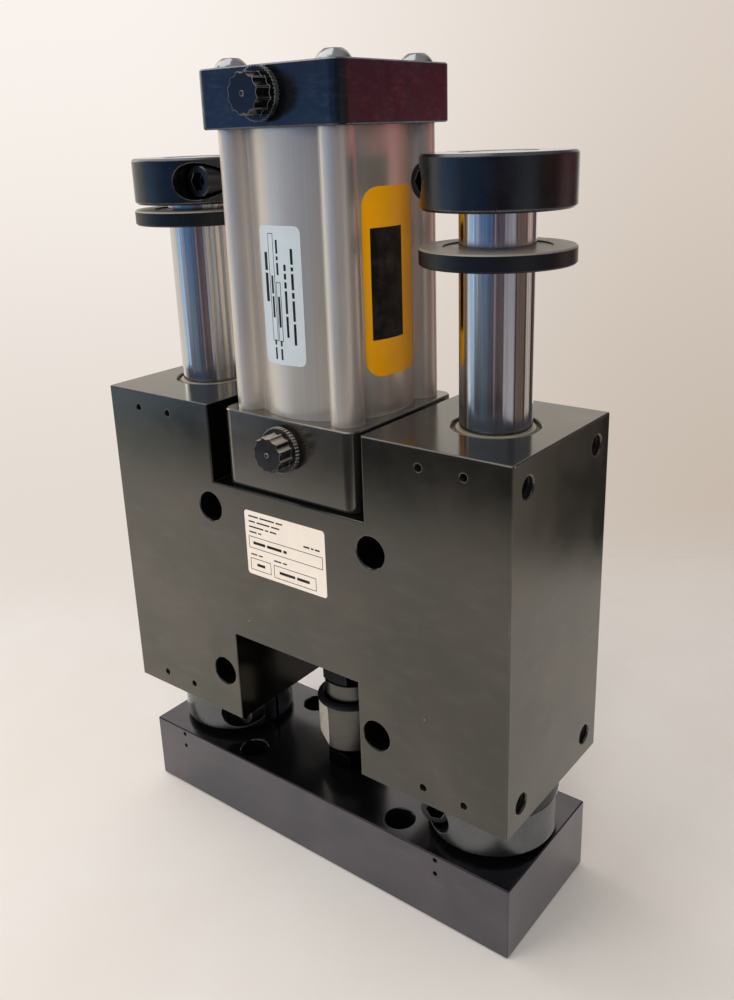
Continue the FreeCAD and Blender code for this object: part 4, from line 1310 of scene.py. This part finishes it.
@dataclass(frozen=True)
class Studio:
    """The pale floor, the room, the soft lamps and the camera."""

    floor_rings: tuple[float, ...] = (0.3, 0.6, 0.9, 1.2, 1.6, 2.2, 3.0)
    floor_spokes: int = 96
    floor_drop: float = 0.0004
    floor_roughness: float = 0.62
    floor_ior: float = 1.4
    table_edges: tuple[TableEdge, ...] = (
        TableEdge((0.0, -1.0), 0.34, 0.55),
        TableEdge((0.669, 0.743), 0.38, 0.50),
        TableEdge((-0.624, 0.782), 0.12, 0.42),
        TableEdge((0.866, -0.5), 0.50, 0.66),
    )
    floor_colour: str = "#e9e6e3"
    fibre_colour: str = "#e4ded8"
    fibre_size: float = 140.0
    ground_colour: str = "#2a2725"
    horizon_colour: str = "#5e6168"
    sky_colour: str = "#c6c4c2"
    # The heights in degrees over which one light goes over into the next.
    horizon_span: Pair = (-10.0, -3.0)
    sky_span: Pair = (25.0, 60.0)
    backdrop_span: Pair = (-22.0, 8.0)
    backdrop_low: str = "#e4dbd2"
    backdrop_high: str = "#faf3ed"
    # The backdrop is a little darker towards one side.
    backdrop_side: Triple = (0.79, 0.61, 0.0)
    backdrop_side_span: Pair = (-0.25, 0.38)
    backdrop_side_colour: str = "#dfd9d3"
    picture: tuple[int, int] = (734, 1000)
    focal: float = 956.54
    centre: Pair = (360.99, 447.61)
    sensor: float = 36.0
    eye: Triple = (0.27247, -0.32671, 0.34657)
    right: Triple = (0.78835, 0.61428, -0.03415)
    up: Triple = (-0.16740, 0.26759, 0.94888)
    back: Triple = (0.59202, -0.74233, 0.31378)
    clutter_scale: float = 16.0
    clutter_uneven: Pair = (0.65, 1.35)
    clutter: tuple[Panel, ...] = (
        Panel(209.0, 7.0, 5.0, -20.0, 4.0, "#cdd2cc"),
        Panel(223.0, 6.0, 4.0, -17.0, 4.0, "#a4c6ea", 1.05),
        Panel(241.0, 8.0, 5.0, -14.0, 4.0, "#a6a9ac"),
        Panel(263.0, 10.0, 7.0, -17.0, 4.0, "#788b98"),
        Panel(281.0, 8.0, 5.0, -16.0, 3.0, "#5c5a5c"),
        Panel(294.0, 2.5, 2.0, -16.0, 3.0, "#85787c"),
        Panel(308.0, 9.0, 4.0, -16.0, 3.0, "#665452"),
        Panel(338.0, 15.0, 4.0, -75.0, 4.0, "#a29ea2"),
        Panel(16.0, 13.0, 5.0, -75.0, 4.0, "#655750"),
        Panel(50.0, 10.0, 4.0, -30.0, 4.0, "#b8aca0"),
        Panel(82.0, 5.0, 5.0, -75.0, 4.0, "#574844"),
        Panel(227.0, 15.0, 6.0, -6.0, 8.0, "#5a86c4", 1.2),
        Panel(266.0, 18.0, 8.0, -10.0, 14.0, "#3b659c"),
        Panel(312.0, 20.0, 8.0, -8.0, 16.0, "#343a58"),
        Panel(350.0, 10.0, 6.0, -4.0, 30.0, "#3c4454"),
        Panel(12.0, 10.0, 6.0, -2.0, 14.0, "#8a5548"),
        Panel(52.0, 20.0, 6.0, -5.0, 8.0, "#b23f52", 1.15),
    )
    panels: tuple[Panel, ...] = (
        Panel(146.0, 54.0, 8.0, -60.0, 60.0, "#e1d9d0"),
    )
    lamps: tuple[Lamp, ...] = (
        Lamp("overhead_box", (-0.35, -0.2, 1.15), (0.8, 0.8), 3.6, "#fffcf9"),
        Lamp("left_box", (-1.4, 0.1, 0.9), (0.7, 1.0), 3.0, "#fffdfa"),
        Lamp("front_fill", (-0.7, -1.35, 0.6), (0.9, 0.7), 10.0, "#fffbf6", mirrored=False),
        Lamp("right_fill", (0.7, -1.0, 0.8), (0.7, 0.7), 8.0, "#fff8f0", mirrored=False),
    )

    def floor(self) -> None:
        """Lays the pale floor, which fades into the backdrop."""
        spokes = self.floor_spokes
        turns = [math.tau * spoke / spokes for spoke in range(spokes)]
        points = [(r * math.cos(turn), r * math.sin(turn), 0.0) for r in self.floor_rings for turn in turns]
        faces = [tuple(range(spokes))]
        for ring in range(len(self.floor_rings) - 1):
            for spoke in range(spokes):
                a, b = ring * spokes + spoke, ring * spokes + (spoke + 1) % spokes
                faces.append((a, a + spokes, b + spokes, b))
        mesh = bpy.data.meshes.new("floor")
        mesh.from_pydata(points, [], faces)
        made = bpy.data.objects.new("floor", mesh)
        bpy.context.scene.collection.objects.link(made)
        made.location.z = -self.floor_drop
        surface = Surface("paper_floor_matt_white")
        tone = surface.evened(surface.noise(self.fibre_size, detail=5.0, roughness=0.6))
        fades = []
        for edge in self.table_edges:
            reach = surface.measure("DOT_PRODUCT", surface.place, (*edge.way, 0.0))
            fades.append(surface.span(reach, (edge.full, edge.gone), 1.0, 0.0, Ramp.SOFT))
        surface.wear({
            "Roughness": self.floor_roughness, "IOR": self.floor_ior,
            "Base Color": surface.mix(tone, to_linear(self.fibre_colour), to_linear(self.floor_colour)),
            "Alpha": surface.product(*fades)})
        mesh.materials.append(surface.material)

    def room(self) -> None:
        """Paints the room: a pale backdrop for the camera, and panels for light and reflections."""
        world = bpy.data.worlds.new("studio_room")
        bpy.context.scene.world = world
        world.use_nodes = True
        nodes = Nodes(world.node_tree)
        look = nodes.add("ShaderNodeTexCoord").outputs["Generated"]
        x, y, z = nodes.axes(look)
        azimuth, height = nodes.math("ARCTAN2", y, x), nodes.math("ARCSINE", z)
        light = self.band(
            nodes, height, self.horizon_span, to_linear(self.ground_colour), to_linear(self.horizon_colour))
        light = self.band(nodes, height, self.sky_span, light, to_linear(self.sky_colour))
        for panel in self.clutter:
            light = self.hang(nodes, panel, azimuth, height, light)
        upright = nodes.add("ShaderNodeTexNoise", {"noise_dimensions": "1D"}, {
            "W": azimuth, "Scale": self.clutter_scale, "Detail": 3.0, "Roughness": 0.6}).outputs["Fac"]
        light = nodes.mix(1.0, light, nodes.evened(upright, *self.clutter_uneven), Blend.MULTIPLY)
        for panel in self.panels:
            light = self.hang(nodes, panel, azimuth, height, light)
        backdrop = self.band(
            nodes, height, self.backdrop_span, to_linear(self.backdrop_low), to_linear(self.backdrop_high))
        aside = nodes.measure("DOT_PRODUCT", look, self.backdrop_side)
        shade = nodes.span(aside, self.backdrop_side_span, ramp=Ramp.SOFT)
        backdrop = nodes.mix(shade, backdrop, to_linear(self.backdrop_side_colour), Blend.MULTIPLY)
        camera = nodes.add("ShaderNodeLightPath").outputs["Is Camera Ray"]
        glow = nodes.add("ShaderNodeBackground", links={"Color": nodes.mix(camera, light, backdrop)})
        nodes.add("ShaderNodeOutputWorld", links={"Surface": glow.outputs[0]})

    def band(self, nodes: Nodes, height: Socket, ends: Pair, below: Feed, above: Feed) -> Socket:
        """Blends the room from one light to another with height.

        Args:
            nodes: The world's nodes.
            height: The direction's elevation, in radians.
            ends: The elevations between which the light changes, in degrees.
            below: The light under them, a colour or an output.
            above: The light over them.

        Returns:
            The blended light.
        """
        low, high = ends
        rise = nodes.span(height, (math.radians(low), math.radians(high)), ramp=Ramp.SOFT)
        return nodes.mix(rise, below, above)

    def hang(self, nodes: Nodes, panel: Panel, azimuth: Socket, height: Socket, behind: Socket) -> Socket:
        """Hangs a panel in the room.

        Args:
            nodes: The world's nodes.
            panel: The panel.
            azimuth: The direction about the vertical, in radians.
            height: The direction's elevation, in radians.
            behind: The room's light without the panel.

        Returns:
            The room's light with the panel.
        """
        off = nodes.math("SUBTRACT", azimuth, math.radians(panel.azimuth))
        aside = nodes.math("ABSOLUTE", nodes.math("WRAP", off, math.pi, -math.pi))
        masks = []
        for value, outer, inner in (
            (aside, panel.half_width + panel.soft, panel.half_width),
            (height, panel.low, panel.low + panel.soft), (height, panel.high, panel.high - panel.soft),
        ):
            masks.append(nodes.span(value, (math.radians(outer), math.radians(inner)), ramp=Ramp.SOFT))
        return nodes.mix(nodes.product(*masks), behind, to_linear(panel.colour, panel.strength))

    def light(self) -> None:
        """Sets up the soft boxes, aimed at the middle of the object."""
        middle = (CAD_BOX[0] + CAD_BOX[1]) / 2
        for lamp in self.lamps:
            box = bpy.data.lights.new(lamp.name, "AREA")
            box.shape = "RECTANGLE"
            box.size, box.size_y = lamp.size
            box.energy = lamp.power
            box.color = to_linear(lamp.colour)[:3]
            made = bpy.data.objects.new(lamp.name, box)
            made.location = lamp.place
            made.rotation_euler = (middle - Vector(lamp.place)).to_track_quat("-Z", "Y").to_euler()
            made.visible_camera = False
            made.visible_glossy = lamp.mirrored
            bpy.context.scene.collection.objects.link(made)

    def camera(self) -> None:
        """Stands the camera where the picture was taken from."""
        lens = bpy.data.cameras.new("camera")
        longest = max(self.picture)
        lens.sensor_width = self.sensor
        lens.lens = self.focal * self.sensor / longest
        lens.shift_x = (self.picture[0] / 2 - self.centre[0]) / longest
        lens.shift_y = (self.centre[1] - self.picture[1] / 2) / longest
        lens.clip_start = 0.01
        made = bpy.data.objects.new("camera", lens)
        turn = Matrix((self.right, self.up, self.back)).transposed()
        made.matrix_world = Matrix.Translation(self.eye) @ turn.to_4x4()
        bpy.context.scene.collection.objects.link(made)
        bpy.context.scene.camera = made
        bpy.context.scene.view_settings.view_transform = "Standard"


def main() -> None:
    """Builds the studio and dresses the object, sub-assembly by sub-assembly."""
    logging.basicConfig(level=logging.INFO, format="%(name)s: %(message)s")
    studio = Studio()
    studio.floor()
    studio.room()
    studio.light()
    studio.camera()
    carriage = Carriage()
    carriage.dress()
    carriage.seal_coupler()
    carriage.face_flats()
    carriage.tap()
    Guides().dress()
    housing = Housing()
    housing.dress()
    housing.shade_wiper_rims()
    housing.tap()
    housing.label()
    cylinder = AirCylinder()
    cylinder.dress()
    cylinder.label()
    cylinder.bead()


if __name__ == "__main__":
    main()
